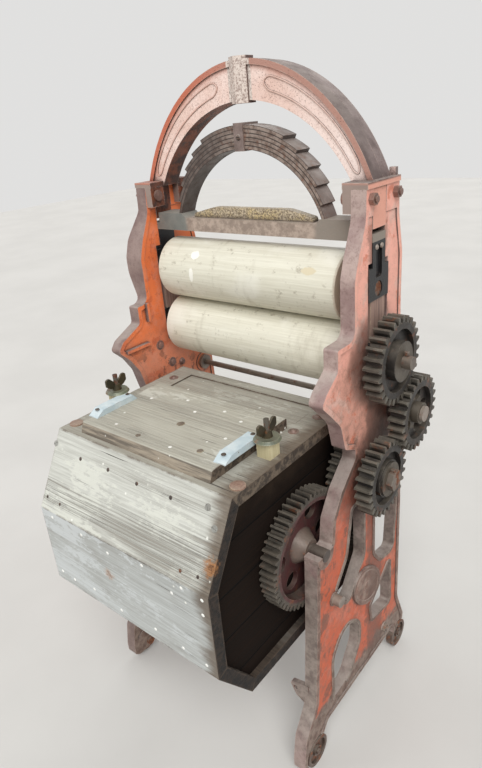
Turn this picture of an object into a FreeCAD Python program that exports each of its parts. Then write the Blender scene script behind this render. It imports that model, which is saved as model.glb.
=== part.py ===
import FreeCAD, Part
import math
import os

os.makedirs("parts", exist_ok=True)
V = FreeCAD.Vector

# All sizes are millimetres. X runs along the rollers towards the gear side, Y runs to the
# back, Z is up. Y is zero in the upright plane through both roller axes and Z is zero on the floor.

# Rollers and their journals
roller_length = 533.0
roller_diameter = 158.0
roller_edge = 3.0
nip_gap = 0.4
lower_axis_z = 1020.0
journal_diameter = 34.0
running_clearance = 0.05
face_clearance = 0.5

# End frames: both webs lie on the gear side of their flanges, and rims stand out to the other side
frame_inner_x = 298.0
frame_width = 34.0
web_thickness = 12.0
web_recess = 3.0
flange_thickness = 12.0
opening_rim = 9.0
rim_inner_gap = 4.0
head_front_y = -57.0
head_rear_y = 87.0
cheek_half = 105.0
ledge_front_y = -175.0
nose_front_y = -239.0
far_ledge_front_y = -142.0
far_nose_front_y = -227.0
far_cheek_swell = 24.0
web_rib = 11.0
waist_front_y = -105.0
leg_rear_y = 140.0
foot_front_y = -364.0
rail_bottom_z = 106.0
oval_long_half = 80.0
oval_short_half = 52.0
oval_behind_pivot = 196.0
oval_below_pivot = 238.0

# Bearing slot, blocks and packing
slot_narrow_half = 28.0
slot_wide_half = 44.0
slot_lip = 12.0
block_clearance = 0.2
block_below_axis = 45.0
lower_block_above_axis = 44.0
upper_block_below_axis = 22.0
upper_block_shoulder = 49.0
upper_block_height = 102.0
block_groove_depth = 6.0
packing_half = 32.0
lift_travel = 10.0
lift_margin = 1.0
head_above_axis = 210.0

# Crown arch
arch_front_y = -10.0
arch_ridge_y = 30.0
arch_back_y = 66.0
arch_inner_back_y = 42.0
arch_fascia = 16.0
arch_flange = 15.0
arch_rim = 12.0
arch_rim_proud = 4.0
arch_tail_step = 1.5
arch_rise = 260.6
arch_inner_rise = 179.8
arch_foot_half = 328.0
arch_foot_inner_half = 277.0
arch_centre_drop = 181.0
foot_plate = 12.0
foot_overhang = 3.0
lug_width = 45.0
lug_depth = 48.0
lug_thickness = 20.0
bolt_from_lug_edge = 19.0
horn_width = 14.0
horn_height = 28.0
screw_bore_radius = 13.0
crown_boss_radius = 27.0
crown_boss_proud = 5.0

# Pressure beam and leaf spring
beam_half_width = 27.5
beam_end_gap = 6.0
beam_depth = 32.0
beam_pad_rise = 11.0
beam_pad_start = 207.0
beam_pad_slope = 13.0
tenon_depth = 16.0
hump_half = 178.0
hump_rise = 26.0
hump_end_rise = 10.0
hump_shoulder = 68.0
hump_thickness = 20.0
leaf_count = 6
leaf_thickness = 8.5
leaf_half_width = 25.0
leaf_inner_radius = 221.0
leaf_foot_angle = 70.0
leaf_end_step = 9.4
buckle_half = 13.0
buckle_wall = 4.0

# Washing box that turns on two trunnions
pivot_y = -246.0
box_roller_gap = 51.0
trunnion_radius = 15.0
trunnion_seat_radius = 32.0
trunnion_seat_lip = 4.0
trunnion_end_gap = 6.0
box_half_height = 257.0
box_top_half = 214.0
box_side_half = 308.0
box_upper_corner = 87.0
box_lower_corner = 126.0
board_thickness = 28.0
box_end_gap = 28.0
end_panel_inset = 16.0

# Lid, clamp bars, posts and wing nuts
lid_half_length = 203.0
lid_ahead = 199.0
lid_behind = 61.0
lid_thickness = 25.0
lid_bevel = 9.0
lid_lap = 20.0
lid_plug_depth = 10.0
lid_plug_clearance = 2.0
lid_travel = 12.0
strip_half = 205.0
strip_start = 86.0
strip_end = 181.0
strip_depth = 3.0
bar_width = 32.0
bar_ahead = 164.0
bar_tail = 37.0
bar_thickness = 14.0
bar_from_lid_edge = 11.0
post_ahead = 53.0
post_from_lid_edge = 33.0
post_half = 17.0
stud_radius = 6.0
stud_length = 46.0
washer_radius = 30.0
washer_thickness = 6.0
nut_hub_radius = 12.0
nut_height = 15.0
wing_span = 31.0
wing_rise = 20.0
wing_thickness = 5.0

# Gears: roller train first, box train second
train_module = 7.0
roller_gear_teeth = 27
idler_teeth = 25
drive_teeth = 25
train_face = 38.6
train_near_gap = 14.0
idler_offset = 15.0
idler_hub_proud = 6.0
box_module = 5.5
box_gear_teeth = 50
pinion_teeth = 33
box_gear_face = 39.0
pinion_face = 24.0
gear_frame_gap = 2.0
addendum_factor = 0.95
dedendum_factor = 1.2
backlash = 0.7
pressure_angle = 20.0
gear_rim = 14.0
gear_web = 12.0
hub_radius = 46.0
drive_shaft_radius = 18.0
drive_angle = 28.0
stay_radius = 8.0
idler_stud_radius = 12.0
boss_radius = 30.0
shaft_end = 22.0
crank_seat_radius = 15.0
roller_gear_hub_proud = 9.0

# Small ironwork and wheels
bolt_radius = 7.0
bolt_head_radius = 13.0
bolt_head_height = 8.0
nut_thickness = 11.0
wheel_radius = 42.0
wheel_width = 20.0
wheel_side_gap = 1.0
axle_plate = 12.0
axle_plate_rim = 14.0
axle_radius = 8.0
front_axle_y = -304.0
rear_axle_y = 158.0
ear_length = 45.0
ear_thickness = 12.0
ear_hole_radius = 6.0
peg_radius = 14.0
peg_behind_pivot = 38.0
peg_below_pivot = 158.0
lower_stay_from_leg = 80.0
lower_stay_above_rail = 44.0

# Places that follow from the sizes above
roller_radius = roller_diameter / 2
journal_radius = journal_diameter / 2
upper_axis_z = lower_axis_z + roller_diameter + nip_gap
pivot_z = lower_axis_z - roller_radius - box_roller_gap - box_half_height
frame_outer_x = frame_inner_x + frame_width
web_outer_x = frame_outer_x - web_recess
web_inner_x = web_outer_x - web_thickness
far_web_x = frame_inner_x + web_recess
wheel_seat_x = frame_inner_x + axle_plate
head_top_z = upper_axis_z + head_above_axis
slot_bottom_z = lower_axis_z - block_below_axis
block_shoulder_z = upper_axis_z + upper_block_shoulder
slot_shoulder_z = block_shoulder_z + lift_travel + lift_margin
beam_bottom_z = upper_axis_z + upper_block_height
tenon_top_z = beam_bottom_z + tenon_depth
tongue_bottom_z = tenon_top_z + lift_travel + lift_margin
beam_top_z = beam_bottom_z + beam_depth
pad_top_z = beam_top_z + beam_pad_rise
leaf_centre_z = pad_top_z - leaf_inner_radius * math.cos(math.radians(leaf_foot_angle))
stack_radius = leaf_inner_radius + leaf_count * leaf_thickness
box_half_length = frame_inner_x - box_end_gap
panel_outer_x = box_half_length - end_panel_inset
box_top_z = pivot_z + box_half_height
lid_top_z = box_top_z + lid_thickness
bar_top_z = lid_top_z + bar_thickness
post_x = lid_half_length + post_from_lid_edge
post_y = pivot_y - post_ahead
lid_front_y = pivot_y - lid_ahead
lid_rear_y = pivot_y + lid_behind
strip_front_y = pivot_y + strip_start
strip_rear_y = pivot_y + strip_end
bar_front_y = pivot_y - bar_ahead
bar_rear_y = pivot_y - bar_tail
peg_y = pivot_y + peg_behind_pivot
peg_z = pivot_z - peg_below_pivot
lower_stay_y = leg_rear_y - lower_stay_from_leg
lower_stay_z = rail_bottom_z + lower_stay_above_rail
train_x = frame_outer_x + train_near_gap
idler_x = train_x + idler_offset
box_gear_end_x = frame_inner_x - gear_frame_gap
beyond_x = 2 * frame_outer_x
box_centre_distance = box_module * (box_gear_teeth + pinion_teeth) / 2
drive_y = pivot_y + box_centre_distance * math.cos(math.radians(drive_angle))
drive_z = pivot_z + box_centre_distance * math.sin(math.radians(drive_angle))


def meet_circles(ay, az, ra, by, bz, rb):
    """Point at distance ra from a and rb from b, on the rear side of the line a to b."""
    gap = math.hypot(by - ay, bz - az)
    along = (ra * ra - rb * rb + gap * gap) / (2 * gap)
    across = math.sqrt(ra * ra - along * along)
    uy = (by - ay) / gap
    uz = (bz - az) / gap
    return ay + along * uy + across * uz, az + along * uz - across * uy


idler_y, idler_z = meet_circles(drive_y, drive_z, train_module * (drive_teeth + idler_teeth) / 2,
                                0.0, lower_axis_z, train_module * (idler_teeth + roller_gear_teeth) / 2)


def rounded_wire(corners):
    """Closed wire through corners (point, radius), each corner rounded by its radius."""
    stations = []
    for index, (point, radius) in enumerate(corners):
        before = corners[index - 1][0]
        after = corners[(index + 1) % len(corners)][0]
        to_before = (before - point).normalize()
        to_after = (after - point).normalize()
        half = to_before.getAngle(to_after) / 2
        middle = to_before + to_after
        if radius <= 0 or middle.Length < 1e-6:
            stations.append((point, None, point))
            continue
        reach = radius / math.tan(half)
        bulge = radius / math.sin(half) - radius
        crest = point + middle.normalize() * bulge
        stations.append((point + to_before * reach, crest, point + to_after * reach))
    edges = []
    for index, (start, middle, end) in enumerate(stations):
        if middle is not None:
            edges.append(Part.Arc(start, middle, end).toShape())
        following = stations[(index + 1) % len(stations)][0]
        if (following - end).Length > 1e-4:
            edges.append(Part.makeLine(end, following))
    return Part.Wire(edges)


def side_face(x, points):
    """Face in the upright plane at x from points (y, z, radius)."""
    return Part.Face(rounded_wire([(V(x, y, z), radius) for y, z, radius in points]))


def side_plate(points, x0, x1):
    """Plate from x0 to x1 whose outline is points (y, z, radius)."""
    return side_face(x0, points).extrude(V(x1 - x0, 0, 0))


def front_plate(points, y0, y1):
    """Plate from y0 to y1 whose outline is points (x, z, radius)."""
    wire = rounded_wire([(V(x, y0, z), radius) for x, z, radius in points])
    return Part.Face(wire).extrude(V(0, y1 - y0, 0))


def box(x0, x1, y0, y1, z0, z1):
    return Part.makeBox(x1 - x0, y1 - y0, z1 - z0, V(x0, y0, z0))


def bar_x(radius, x0, x1, y, z):
    """Round bar along X."""
    return Part.makeCylinder(radius, x1 - x0, V(x0, y, z), V(1, 0, 0))


def hex_x(radius, x0, x1, y, z):
    """Hexagonal nut along X."""
    points = []
    for k in range(6):
        turn = math.radians(60 * k)
        points.append((y + radius * math.cos(turn), z + radius * math.sin(turn), 0))
    return side_plate(points, x0, x1)


def mirrored(shape):
    """The same piece for the far side."""
    return shape.mirror(V(0, 0, 0), V(1, 0, 0))


# End frames


def frame_outline(ledge_y, nose_y):
    """Outline of an end frame as (y, z, radius), from the head down the front and up the rear."""
    ledge_z = lower_axis_z + 75
    waist_z = lower_axis_z - 200
    seat_z = pivot_z + trunnion_seat_lip
    axle_low = wheel_radius - 22
    return [
        (head_front_y, head_top_z, 2),
        (head_front_y - 3, head_top_z - 62, 60),
        (-cheek_half + 14, head_top_z - 130, 60),
        (-cheek_half, head_top_z - 172, 40),
        (-cheek_half, ledge_z, 24),
        (ledge_y, ledge_z, 5),
        (ledge_y, ledge_z - 46, 12),
        (nose_y + 18, ledge_z - 78, 14),
        (nose_y, ledge_z - 100, 11),
        (nose_y + 34, ledge_z - 134, 30),
        (waist_front_y - 62, ledge_z - 175, 50),
        (waist_front_y - 45, waist_z + 34, 14),
        (waist_front_y, waist_z + 13, 10),
        (waist_front_y, waist_z - 12, 10),
        (waist_front_y - 62, waist_z - 66, 50),
        (pivot_y + trunnion_seat_radius + 8, pivot_z + 64, 25),
        (pivot_y + trunnion_seat_radius, seat_z, 6),
        (pivot_y - trunnion_seat_radius + 2, seat_z, 6),
        (pivot_y - 39, pivot_z - 182, 300),
        (foot_front_y + 60, rail_bottom_z + 96, 60),
        (foot_front_y + 12, rail_bottom_z + 26, 40),
        (foot_front_y, wheel_radius + 18, 30),
        (foot_front_y, axle_low + 12, 5),
        (foot_front_y + 14, axle_low, 10),
        (front_axle_y + 19, axle_low, 14),
        (front_axle_y + 24, wheel_radius + 32, 14),
        (front_axle_y + 50, rail_bottom_z, 24),
        (rear_axle_y - 46, rail_bottom_z, 24),
        (rear_axle_y - 20, axle_low, 14),
        (rear_axle_y + 20, axle_low, 14),
        (rear_axle_y + 26, rail_bottom_z, 10),
        (leg_rear_y + 34, rail_bottom_z + 22, 8),
        (leg_rear_y, rail_bottom_z + 102, 60),
        (leg_rear_y, pivot_z - 80, 300),
        (cheek_half + 3, lower_axis_z + 97, 300),
        (cheek_half + 4, head_top_z - 152, 80),
        (head_rear_y + 3, head_top_z - 70, 80),
        (head_rear_y, head_top_z, 2),
    ]


def frame_openings():
    """Openings of the lower panel as lists of (y, z, radius)."""
    y, z = pivot_y, pivot_z
    crescent = [(y + 180, z + 43, 5), (y + 182, z - 128, 30), (y + 104, z - 225, 22),
                (y + 42, z - 151, 26), (y + 102, z - 77, 60), (y + 128, z + 43, 8)]
    y = leg_rear_y
    rear_slot = [(y - 146, z + 57, 8), (y - 146, z - 163, 30), (y - 110, z - 208, 30),
                 (y - 40, z - 221, 16), (y - 27, z - 73, 60), (y - 27, z + 57, 8)]
    z = rail_bottom_z
    triangle = [(y - 56, z + 278, 8), (y - 164, z + 194, 10), (y - 156, z + 140, 12), (y - 50, z + 122, 8)]
    y = foot_front_y
    window = [(y + 146, z + 43, 4), (y + 146, z + 184, 64), (y + 204, z + 246, 50),
              (y + 276, z + 194, 60), (y + 276, z + 124, 60), (y + 214, z + 43, 40)]
    return [crescent, rear_slot, triangle, window]


def slot_outline(margin):
    """Bearing slot grown sideways and downwards by a margin."""
    narrow = slot_narrow_half + margin
    wide = slot_wide_half + margin
    bottom = slot_bottom_z - margin
    shoulder = slot_shoulder_z + margin
    return [(-narrow, head_top_z, 0), (-narrow, shoulder, 0), (-wide, shoulder, 0), (-wide, bottom, 0),
            (wide, bottom, 0), (wide, shoulder, 0), (narrow, shoulder, 0), (narrow, head_top_z, 0)]


def cheek_lens(swell):
    """Space of the front flange at the cheek, bowed outwards by a swell."""
    low = lower_axis_z + 85
    high = head_top_z - 55
    out = frame_outer_x + swell
    return front_plate([(frame_inner_x, low, 0), (frame_inner_x, high, 0), (frame_outer_x, high, 0),
                        (out, high - 70, 90), (out, low + 70, 90), (frame_outer_x, low, 0)],
                       -2 * cheek_half, -slot_narrow_half)


def frame_pads():
    """Solid places of the casting: head under the arch, blocks round the wheels, seats of the lower stay."""
    head_low = head_top_z - lug_depth - 6
    pads = [box(frame_inner_x, frame_outer_x, head_front_y, head_rear_y, head_low, head_top_z)]
    for axle_y in (front_axle_y, rear_axle_y):
        pads.append(bar_x(wheel_radius + axle_plate_rim, frame_inner_x, web_outer_x, axle_y, wheel_radius))
    pads.append(bar_x(stay_radius + 14, frame_inner_x, web_outer_x, lower_stay_y, lower_stay_z))
    return pads


def frame_web(ledge_y, nose_y):
    """Web near the outer side, with slot cheeks and opening rims that stand inwards."""
    face = side_face(frame_inner_x, frame_outline(ledge_y, nose_y))
    whole = face.extrude(V(frame_width, 0, 0))
    body = face.extrude(V(web_thickness, 0, 0))
    body.translate(V(web_inner_x - frame_inner_x, 0, 0))
    body = body.fuse(side_plate(slot_outline(slot_lip), frame_inner_x, web_outer_x).common(whole))
    for points in frame_openings():
        rim = side_face(frame_inner_x + rim_inner_gap, points).makeOffset2D(opening_rim)
        rim = rim.extrude(V(web_outer_x - frame_inner_x - rim_inner_gap, 0, 0))
        body = body.fuse(rim.common(whole))
    return body


def frame_skeleton(ledge_y, nose_y, swell, turned):
    """Perimeter flange round the web, which is turned to the inner side on the far frame."""
    body = frame_web(ledge_y, nose_y)
    if turned:
        body = body.mirror(V(frame_inner_x + frame_width / 2, 0, 0), V(1, 0, 0))
    face = side_face(frame_inner_x, frame_outline(ledge_y, nose_y))
    flange = face.cut(face.makeOffset2D(-flange_thickness))
    body = body.fuse(flange.extrude(V(frame_width, 0, 0)))
    if swell > 0:
        body = body.fuse(flange.extrude(V(frame_width + swell, 0, 0)).common(cheek_lens(swell)))
    for pad in frame_pads():
        body = body.fuse(pad.common(face.extrude(V(frame_width, 0, 0))))
    return body


def frame_bosses(web_x):
    """Round bosses for the trunnion and the oval boss on the lower panel."""
    seat = bar_x(trunnion_seat_radius, frame_inner_x, frame_outer_x + 4, pivot_y, pivot_z)
    lid_of_seat = box(frame_inner_x - 1, frame_outer_x + 5, pivot_y - 60, pivot_y + 60,
                      pivot_z + trunnion_seat_lip, pivot_z + 60)
    seat = seat.cut(lid_of_seat)
    oval = Part.Face(Part.Wire(Part.Ellipse(V(0, 0, 0), oval_long_half, oval_short_half).toShape()))
    oval.rotate(V(0, 0, 0), V(0, 1, 0), -90)
    oval.rotate(V(0, 0, 0), V(1, 0, 0), 50)
    oval.translate(V(web_x, pivot_y + oval_behind_pivot, pivot_z - oval_below_pivot))
    return [seat, oval.extrude(V(frame_outer_x + 4 - web_x, 0, 0))]


def frame_ear():
    """Inward ear with a hole on the front leg."""
    z0 = rail_bottom_z + 76
    y0 = foot_front_y + 62
    root_x = frame_inner_x + 10
    tip_x = frame_inner_x - ear_length
    ear = front_plate([(root_x, z0, 0), (root_x, z0 + 72, 0), (tip_x, z0 + 60, 8), (tip_x + 18, z0 + 22, 10)],
                      y0, y0 + ear_thickness)
    mouth = V(tip_x + ear_length * 0.38, y0 - ear_thickness, z0 + 46)
    return ear.cut(Part.makeCylinder(ear_hole_radius, 4 * ear_thickness, mouth, V(0, 1, 0)))


def frame_holes():
    """Everything cut through a frame, with the fits of the pieces that go there."""
    x0 = frame_inner_x - 5
    x1 = frame_outer_x + 60
    cuts = [side_plate(slot_outline(0), x0, x1)]
    cuts.append(box(x0, x1, -slot_narrow_half, slot_narrow_half, head_top_z - 1, head_top_z + 5))
    for points in frame_openings():
        cuts.append(side_plate(points, x0, x1))
    neck = trunnion_radius + running_clearance
    cuts.append(bar_x(neck, x0, x1, pivot_y, pivot_z))
    cuts.append(box(x0, x1, pivot_y - neck, pivot_y + neck, pivot_z, pivot_z + 60))
    for axle_y in (front_axle_y, rear_axle_y):
        cuts.append(bar_x(wheel_radius + 5, wheel_seat_x, x1, axle_y, wheel_radius))
        cuts.append(bar_x(axle_radius + running_clearance, x0, x1, axle_y, wheel_radius))
    for bolt_y in arch_bolt_places():
        cuts.append(bar_x(bolt_radius, x0, x1, bolt_y, arch_bolt_z()))
    cuts.append(bar_x(stay_radius, x0, x1, lower_stay_y, lower_stay_z))
    return cuts


def frame_ribs(web_x):
    """Two short ribs on the inner face below the rollers."""
    x0 = web_x - web_rib
    y = -cheek_half
    upright = box(x0, web_x, y - 10, y - 2, lower_axis_z + 28, lower_axis_z + 79)
    level = box(x0, web_x, y - 99, y - 17, lower_axis_z - 36, lower_axis_z - 28)
    return [upright, level]


def common_frame(ledge_y, nose_y, swell, web_x):
    """The casting shared by both sides; web_x is the inner face of its web."""
    body = frame_skeleton(ledge_y, nose_y, swell, web_x < web_inner_x)
    for boss in frame_bosses(web_x) + frame_ribs(web_x):
        body = body.fuse(boss)
    body = body.fuse(frame_ear())
    for cut in frame_holes():
        body = body.cut(cut)
    return body


def right_end_frame():
    """Gear-side frame with bosses for the drive shaft and the idler stud."""
    drive_boss = bar_x(boss_radius + 8, frame_inner_x, train_x - 3, drive_y, drive_z)
    idler_boss = bar_x(boss_radius, frame_inner_x, idler_x - 2, idler_y, idler_z)
    peg_boss = bar_x(peg_radius + 4, frame_inner_x, frame_outer_x, peg_y, peg_z)
    crescent = side_plate(frame_openings()[0], 0, beyond_x)
    body = common_frame(ledge_front_y, nose_front_y, 0, web_inner_x)
    body = body.fuse([drive_boss, idler_boss, peg_boss.cut(crescent)])
    body = body.cut(bar_x(drive_shaft_radius + running_clearance, 0, beyond_x, drive_y, drive_z))
    body = body.cut(bar_x(idler_stud_radius, 0, beyond_x, idler_y, idler_z))
    body = body.cut(bar_x(peg_radius - 5, 0, beyond_x, peg_y, peg_z))
    return body.removeSplitter()


def left_end_frame():
    """Far frame, with the stay's small bolt hole in place of the gear bosses."""
    body = common_frame(far_ledge_front_y, far_nose_front_y, far_cheek_swell, far_web_x)
    body = body.fuse(bar_x(boss_radius, frame_inner_x, web_outer_x, idler_y, idler_z))
    body = body.cut(bar_x(stay_radius, 0, beyond_x, idler_y, idler_z))
    return mirrored(body.removeSplitter())


def stop_peg():
    """Stub peg with a round head on the gear-side frame."""
    seat_x = frame_outer_x
    peg = bar_x(peg_radius - 5, frame_inner_x, seat_x + 1, peg_y, peg_z)
    return peg.fuse(bar_x(peg_radius, seat_x, seat_x + 20, peg_y, peg_z)).removeSplitter()


# Crown arch


def arch_bolt_places():
    return (head_front_y + bolt_from_lug_edge, head_rear_y - bolt_from_lug_edge)


def arch_bolt_z():
    return head_top_z - lug_depth / 2 + 4


def arch_band(foot_half, rise, grow, y0, y1):
    """Half-elliptical slab above the frame heads, grown by a margin all round."""
    tall = rise + arch_centre_drop
    wide = foot_half / math.sqrt(1 - (arch_centre_drop / tall) ** 2) + grow
    tall = tall + grow
    centre = V(0, y0, head_top_z - arch_centre_drop)
    summit = centre + V(0, 0, tall)
    side = centre + V(wide, 0, 0)
    if tall >= wide:
        curve = Part.Ellipse(summit, side, centre)
    else:
        curve = Part.Ellipse(side, summit, centre)
    slab = Part.Face(Part.Wire(curve.toShape())).extrude(V(0, y1 - y0, 0))
    return slab.common(box(-beyond_x, beyond_x, y0 - 1, y1 + 1, head_top_z, head_top_z + beyond_x))


def arch_rib():
    """Channel-section rib: fascia in front, flanges behind, a raised outer rim."""
    hollow = arch_band(arch_foot_inner_half, arch_inner_rise, 0, arch_front_y - 20, arch_back_y + 20)
    fascia = arch_band(arch_foot_half, arch_rise, 0, arch_front_y, arch_front_y + arch_fascia)
    crown = arch_band(arch_foot_half, arch_rise, 0, arch_front_y, arch_ridge_y)
    crown = crown.cut(arch_band(arch_foot_half, arch_rise, -arch_flange, arch_front_y - 1, arch_ridge_y + 1))
    tail = arch_band(arch_foot_half, arch_rise, -arch_tail_step, arch_ridge_y, arch_back_y)
    tail = tail.cut(arch_band(arch_foot_half, arch_rise, -arch_flange, arch_ridge_y - 1, arch_back_y + 1))
    soffit = arch_band(arch_foot_inner_half, arch_inner_rise, arch_flange, arch_front_y, arch_inner_back_y)
    rim = arch_band(arch_foot_half, arch_rise, 0, arch_front_y - arch_rim_proud, arch_front_y)
    rim = rim.cut(arch_band(arch_foot_half, arch_rise, -arch_rim, arch_front_y - 20, arch_front_y + 1))
    return fascia.fuse([crown, tail, soffit, rim]).cut(hollow)


def arch_foot():
    """Foot plate on the frame head, tongue in the slot, bolting lugs and rear horn."""
    plate = box(arch_foot_inner_half, frame_outer_x + foot_overhang, head_front_y, head_rear_y,
                head_top_z, head_top_z + foot_plate)
    tongue = box(frame_inner_x + 1, frame_outer_x - 1, -slot_narrow_half + block_clearance,
                 slot_narrow_half - block_clearance, tongue_bottom_z, head_top_z)
    horn = box(frame_outer_x - horn_width - 4, frame_outer_x - 4, head_rear_y - 12, head_rear_y,
               head_top_z, head_top_z + horn_height)
    foot = plate.fuse([tongue, horn])
    for y0 in (head_front_y, head_rear_y - lug_width):
        lug = box(frame_inner_x - lug_thickness, frame_inner_x, y0, y0 + lug_width,
                  head_top_z - lug_depth, head_top_z + foot_plate)
        foot = foot.fuse(lug)
    for bolt_y in arch_bolt_places():
        foot = foot.cut(bar_x(bolt_radius, 0, frame_inner_x + 1, bolt_y, arch_bolt_z()))
    return foot


def crown_arch():
    """Arch that ties the two frames and carries the pressure screw's boss."""
    low = head_top_z + arch_inner_rise - 6
    high = head_top_z + arch_rise + crown_boss_proud
    points = []
    for k in range(6):
        turn = math.radians(60 * k + 30)
        points.append(V(crown_boss_radius * math.cos(turn), crown_boss_radius * math.sin(turn), low))
    boss = Part.Face(Part.makePolygon(points + points[:1])).extrude(V(0, 0, high - low))
    foot = arch_foot()
    arch = arch_rib().fuse([boss, foot, mirrored(foot)])
    bore = Part.makeCylinder(screw_bore_radius, high - low + 20, V(0, 0, low - 10))
    return arch.cut(bore).removeSplitter()


def arch_bolt(bolt_y):
    """Bolt through lug and frame, round head inside, nut outside."""
    z = arch_bolt_z()
    inside = frame_inner_x - lug_thickness
    shank = bar_x(bolt_radius, inside, frame_outer_x + nut_thickness + 4, bolt_y, z)
    head = bar_x(bolt_head_radius, inside - bolt_head_height, inside, bolt_y, z)
    head = head.makeChamfer(3, [head.Edges[0]])
    nut = hex_x(bolt_head_radius, frame_outer_x, frame_outer_x + nut_thickness, bolt_y, z)
    return shank.fuse([head, nut]).removeSplitter()


# Stays


def stay_rod():
    """Upper stay between the frames; its gear-side end is the idler's stud."""
    cap_x = idler_x + train_face + idler_hub_proud + face_clearance
    rod = bar_x(stay_radius, -web_outer_x - nut_thickness - 4, frame_inner_x, idler_y, idler_z)
    stud = bar_x(idler_stud_radius, frame_inner_x - 3, cap_x + 1, idler_y, idler_z)
    cap = bar_x(idler_stud_radius + 7, cap_x, cap_x + 8, idler_y, idler_z)
    collar = bar_x(boss_radius - 8, frame_inner_x - 9, frame_inner_x, idler_y, idler_z)
    far_collar = bar_x(boss_radius - 8, -frame_inner_x, -frame_inner_x + 9, idler_y, idler_z)
    nut = hex_x(bolt_head_radius, -web_outer_x - nut_thickness, -web_outer_x, idler_y, idler_z)
    return rod.fuse([stud, cap, collar, far_collar, nut]).removeSplitter()


def lower_stay():
    """Plain stay low down at the back, nutted outside both webs."""
    end = web_outer_x + nut_thickness + 4
    rod = bar_x(stay_radius, -end, end, lower_stay_y, lower_stay_z)
    pieces = []
    for side in (-1, 1):
        near = min(side * web_outer_x, side * (web_outer_x + nut_thickness))
        pieces.append(hex_x(bolt_head_radius, near, near + nut_thickness, lower_stay_y, lower_stay_z))
        near = min(side * frame_inner_x, side * (frame_inner_x - 9))
        pieces.append(bar_x(bolt_head_radius + 2, near, near + 9, lower_stay_y, lower_stay_z))
    return rod.fuse(pieces).removeSplitter()


# Bearings


def block_bore(z):
    return bar_x(journal_radius + running_clearance, frame_inner_x - 5, frame_outer_x + 5, 0, z)


def lower_bearing():
    """Fixed block at the bottom of the slot."""
    half = slot_wide_half - block_clearance
    block = box(frame_inner_x + 1, frame_outer_x - 1, -half, half, slot_bottom_z,
                lower_axis_z + lower_block_above_axis)
    return block.cut(block_bore(lower_axis_z))


def packing_block():
    """Wooden packing between the lower and the upper block."""
    return box(frame_inner_x + 3, frame_outer_x - 3, -packing_half, packing_half,
               lower_axis_z + lower_block_above_axis, upper_axis_z - upper_block_below_axis - face_clearance)


def upper_bearing():
    """Sliding block with a narrow stem that carries the beam; its outer face is grooved."""
    half = slot_wide_half - block_clearance
    stem = slot_narrow_half - block_clearance
    x0 = frame_inner_x + 1
    x1 = frame_outer_x - 1
    block = box(x0, x1, -half, half, upper_axis_z - upper_block_below_axis, block_shoulder_z)
    block = block.fuse(box(x0, x1, -stem, stem, block_shoulder_z, beam_bottom_z))
    low = upper_axis_z + journal_radius + 8
    high = beam_bottom_z - 8
    groove = side_plate([(-stem / 2, low, 6), (-stem / 2, high, 6), (stem / 2, high, 6), (stem / 2, low, 6)],
                        x1 - block_groove_depth, x1 + 1)
    return block.cut(groove).cut(block_bore(upper_axis_z)).removeSplitter()


# Pressure beam and spring


def beam_profile():
    """Beam seen from the front, raised pads at both ends."""
    end = frame_inner_x - beam_end_gap
    right = [(end, beam_bottom_z, 2), (end, pad_top_z, 3), (beam_pad_start, pad_top_z, 4),
             (beam_pad_start - beam_pad_slope, beam_top_z, 4)]
    left = [(-x, z, radius) for x, z, radius in reversed(right)]
    return right + left


def pressure_beam():
    """Beam between the upper blocks, with tenons in the slots and a rib along its middle."""
    beam = front_plate(beam_profile(), -beam_half_width, beam_half_width)
    hump_top_z = beam_top_z + hump_rise
    end_top_z = beam_top_z + hump_end_rise
    shoulder = hump_half - hump_shoulder
    hump = front_plate([(-hump_half, beam_top_z - 1, 0), (hump_half, beam_top_z - 1, 0),
                        (hump_half, end_top_z, 7), (shoulder, hump_top_z, 90),
                        (-shoulder, hump_top_z, 90), (-hump_half, end_top_z, 7)],
                       -hump_thickness / 2, hump_thickness / 2)
    end = frame_inner_x - beam_end_gap
    tenon = box(end - 4, frame_outer_x - 1, -beam_half_width, beam_half_width, beam_bottom_z, tenon_top_z)
    return beam.fuse([hump, tenon, mirrored(tenon)]).removeSplitter()


def leaf_sector(inner, outer, angle, half_width):
    """Curved strip between two radii about the spring's centre, within an angle of the upright."""
    def at(radius, turn):
        return V(radius * math.sin(turn), -half_width, leaf_centre_z + radius * math.cos(turn))
    turn = math.radians(angle)
    edges = [Part.Arc(at(outer, -turn), at(outer, 0), at(outer, turn)).toShape(),
             Part.makeLine(at(outer, turn), at(inner, turn)),
             Part.Arc(at(inner, turn), at(inner, 0), at(inner, -turn)).toShape(),
             Part.makeLine(at(inner, -turn), at(outer, -turn))]
    return Part.Face(Part.Wire(edges)).extrude(V(0, 2 * half_width, 0))


def spring_leaf(index):
    """One leaf; the first is the longest and stands on the beam's pads."""
    inner = leaf_inner_radius + index * leaf_thickness
    angle = leaf_foot_angle + 3 - index * leaf_end_step
    leaf = leaf_sector(inner, inner + leaf_thickness, angle, leaf_half_width)
    reach = 2 * stack_radius
    return leaf.common(box(-reach, reach, -reach, reach, pad_top_z, pad_top_z + reach))


def spring_buckle():
    """Strap that holds the leaves together at the crown."""
    low = leaf_centre_z + leaf_inner_radius - buckle_wall
    high = leaf_centre_z + stack_radius + buckle_wall
    reach = leaf_half_width + buckle_wall
    strap = box(-buckle_half, buckle_half, -reach, reach, low, high)
    return strap.cut(leaf_sector(leaf_inner_radius, stack_radius, 20, leaf_half_width))


# Rollers


def wooden_roller(z):
    """Solid wooden roller bored for its shaft."""
    half = roller_length / 2
    wood = bar_x(roller_radius, -half, half, 0, z)
    ends = [edge for edge in wood.Edges if edge.Curve.TypeId == "Part::GeomCircle"]
    wood = wood.makeChamfer(roller_edge, ends)
    return wood.cut(bar_x(journal_radius, -half - 1, half + 1, 0, z))


def upper_roller_shaft():
    return bar_x(journal_radius, -frame_outer_x + 4, frame_outer_x - 4, 0, upper_axis_z)


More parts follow.
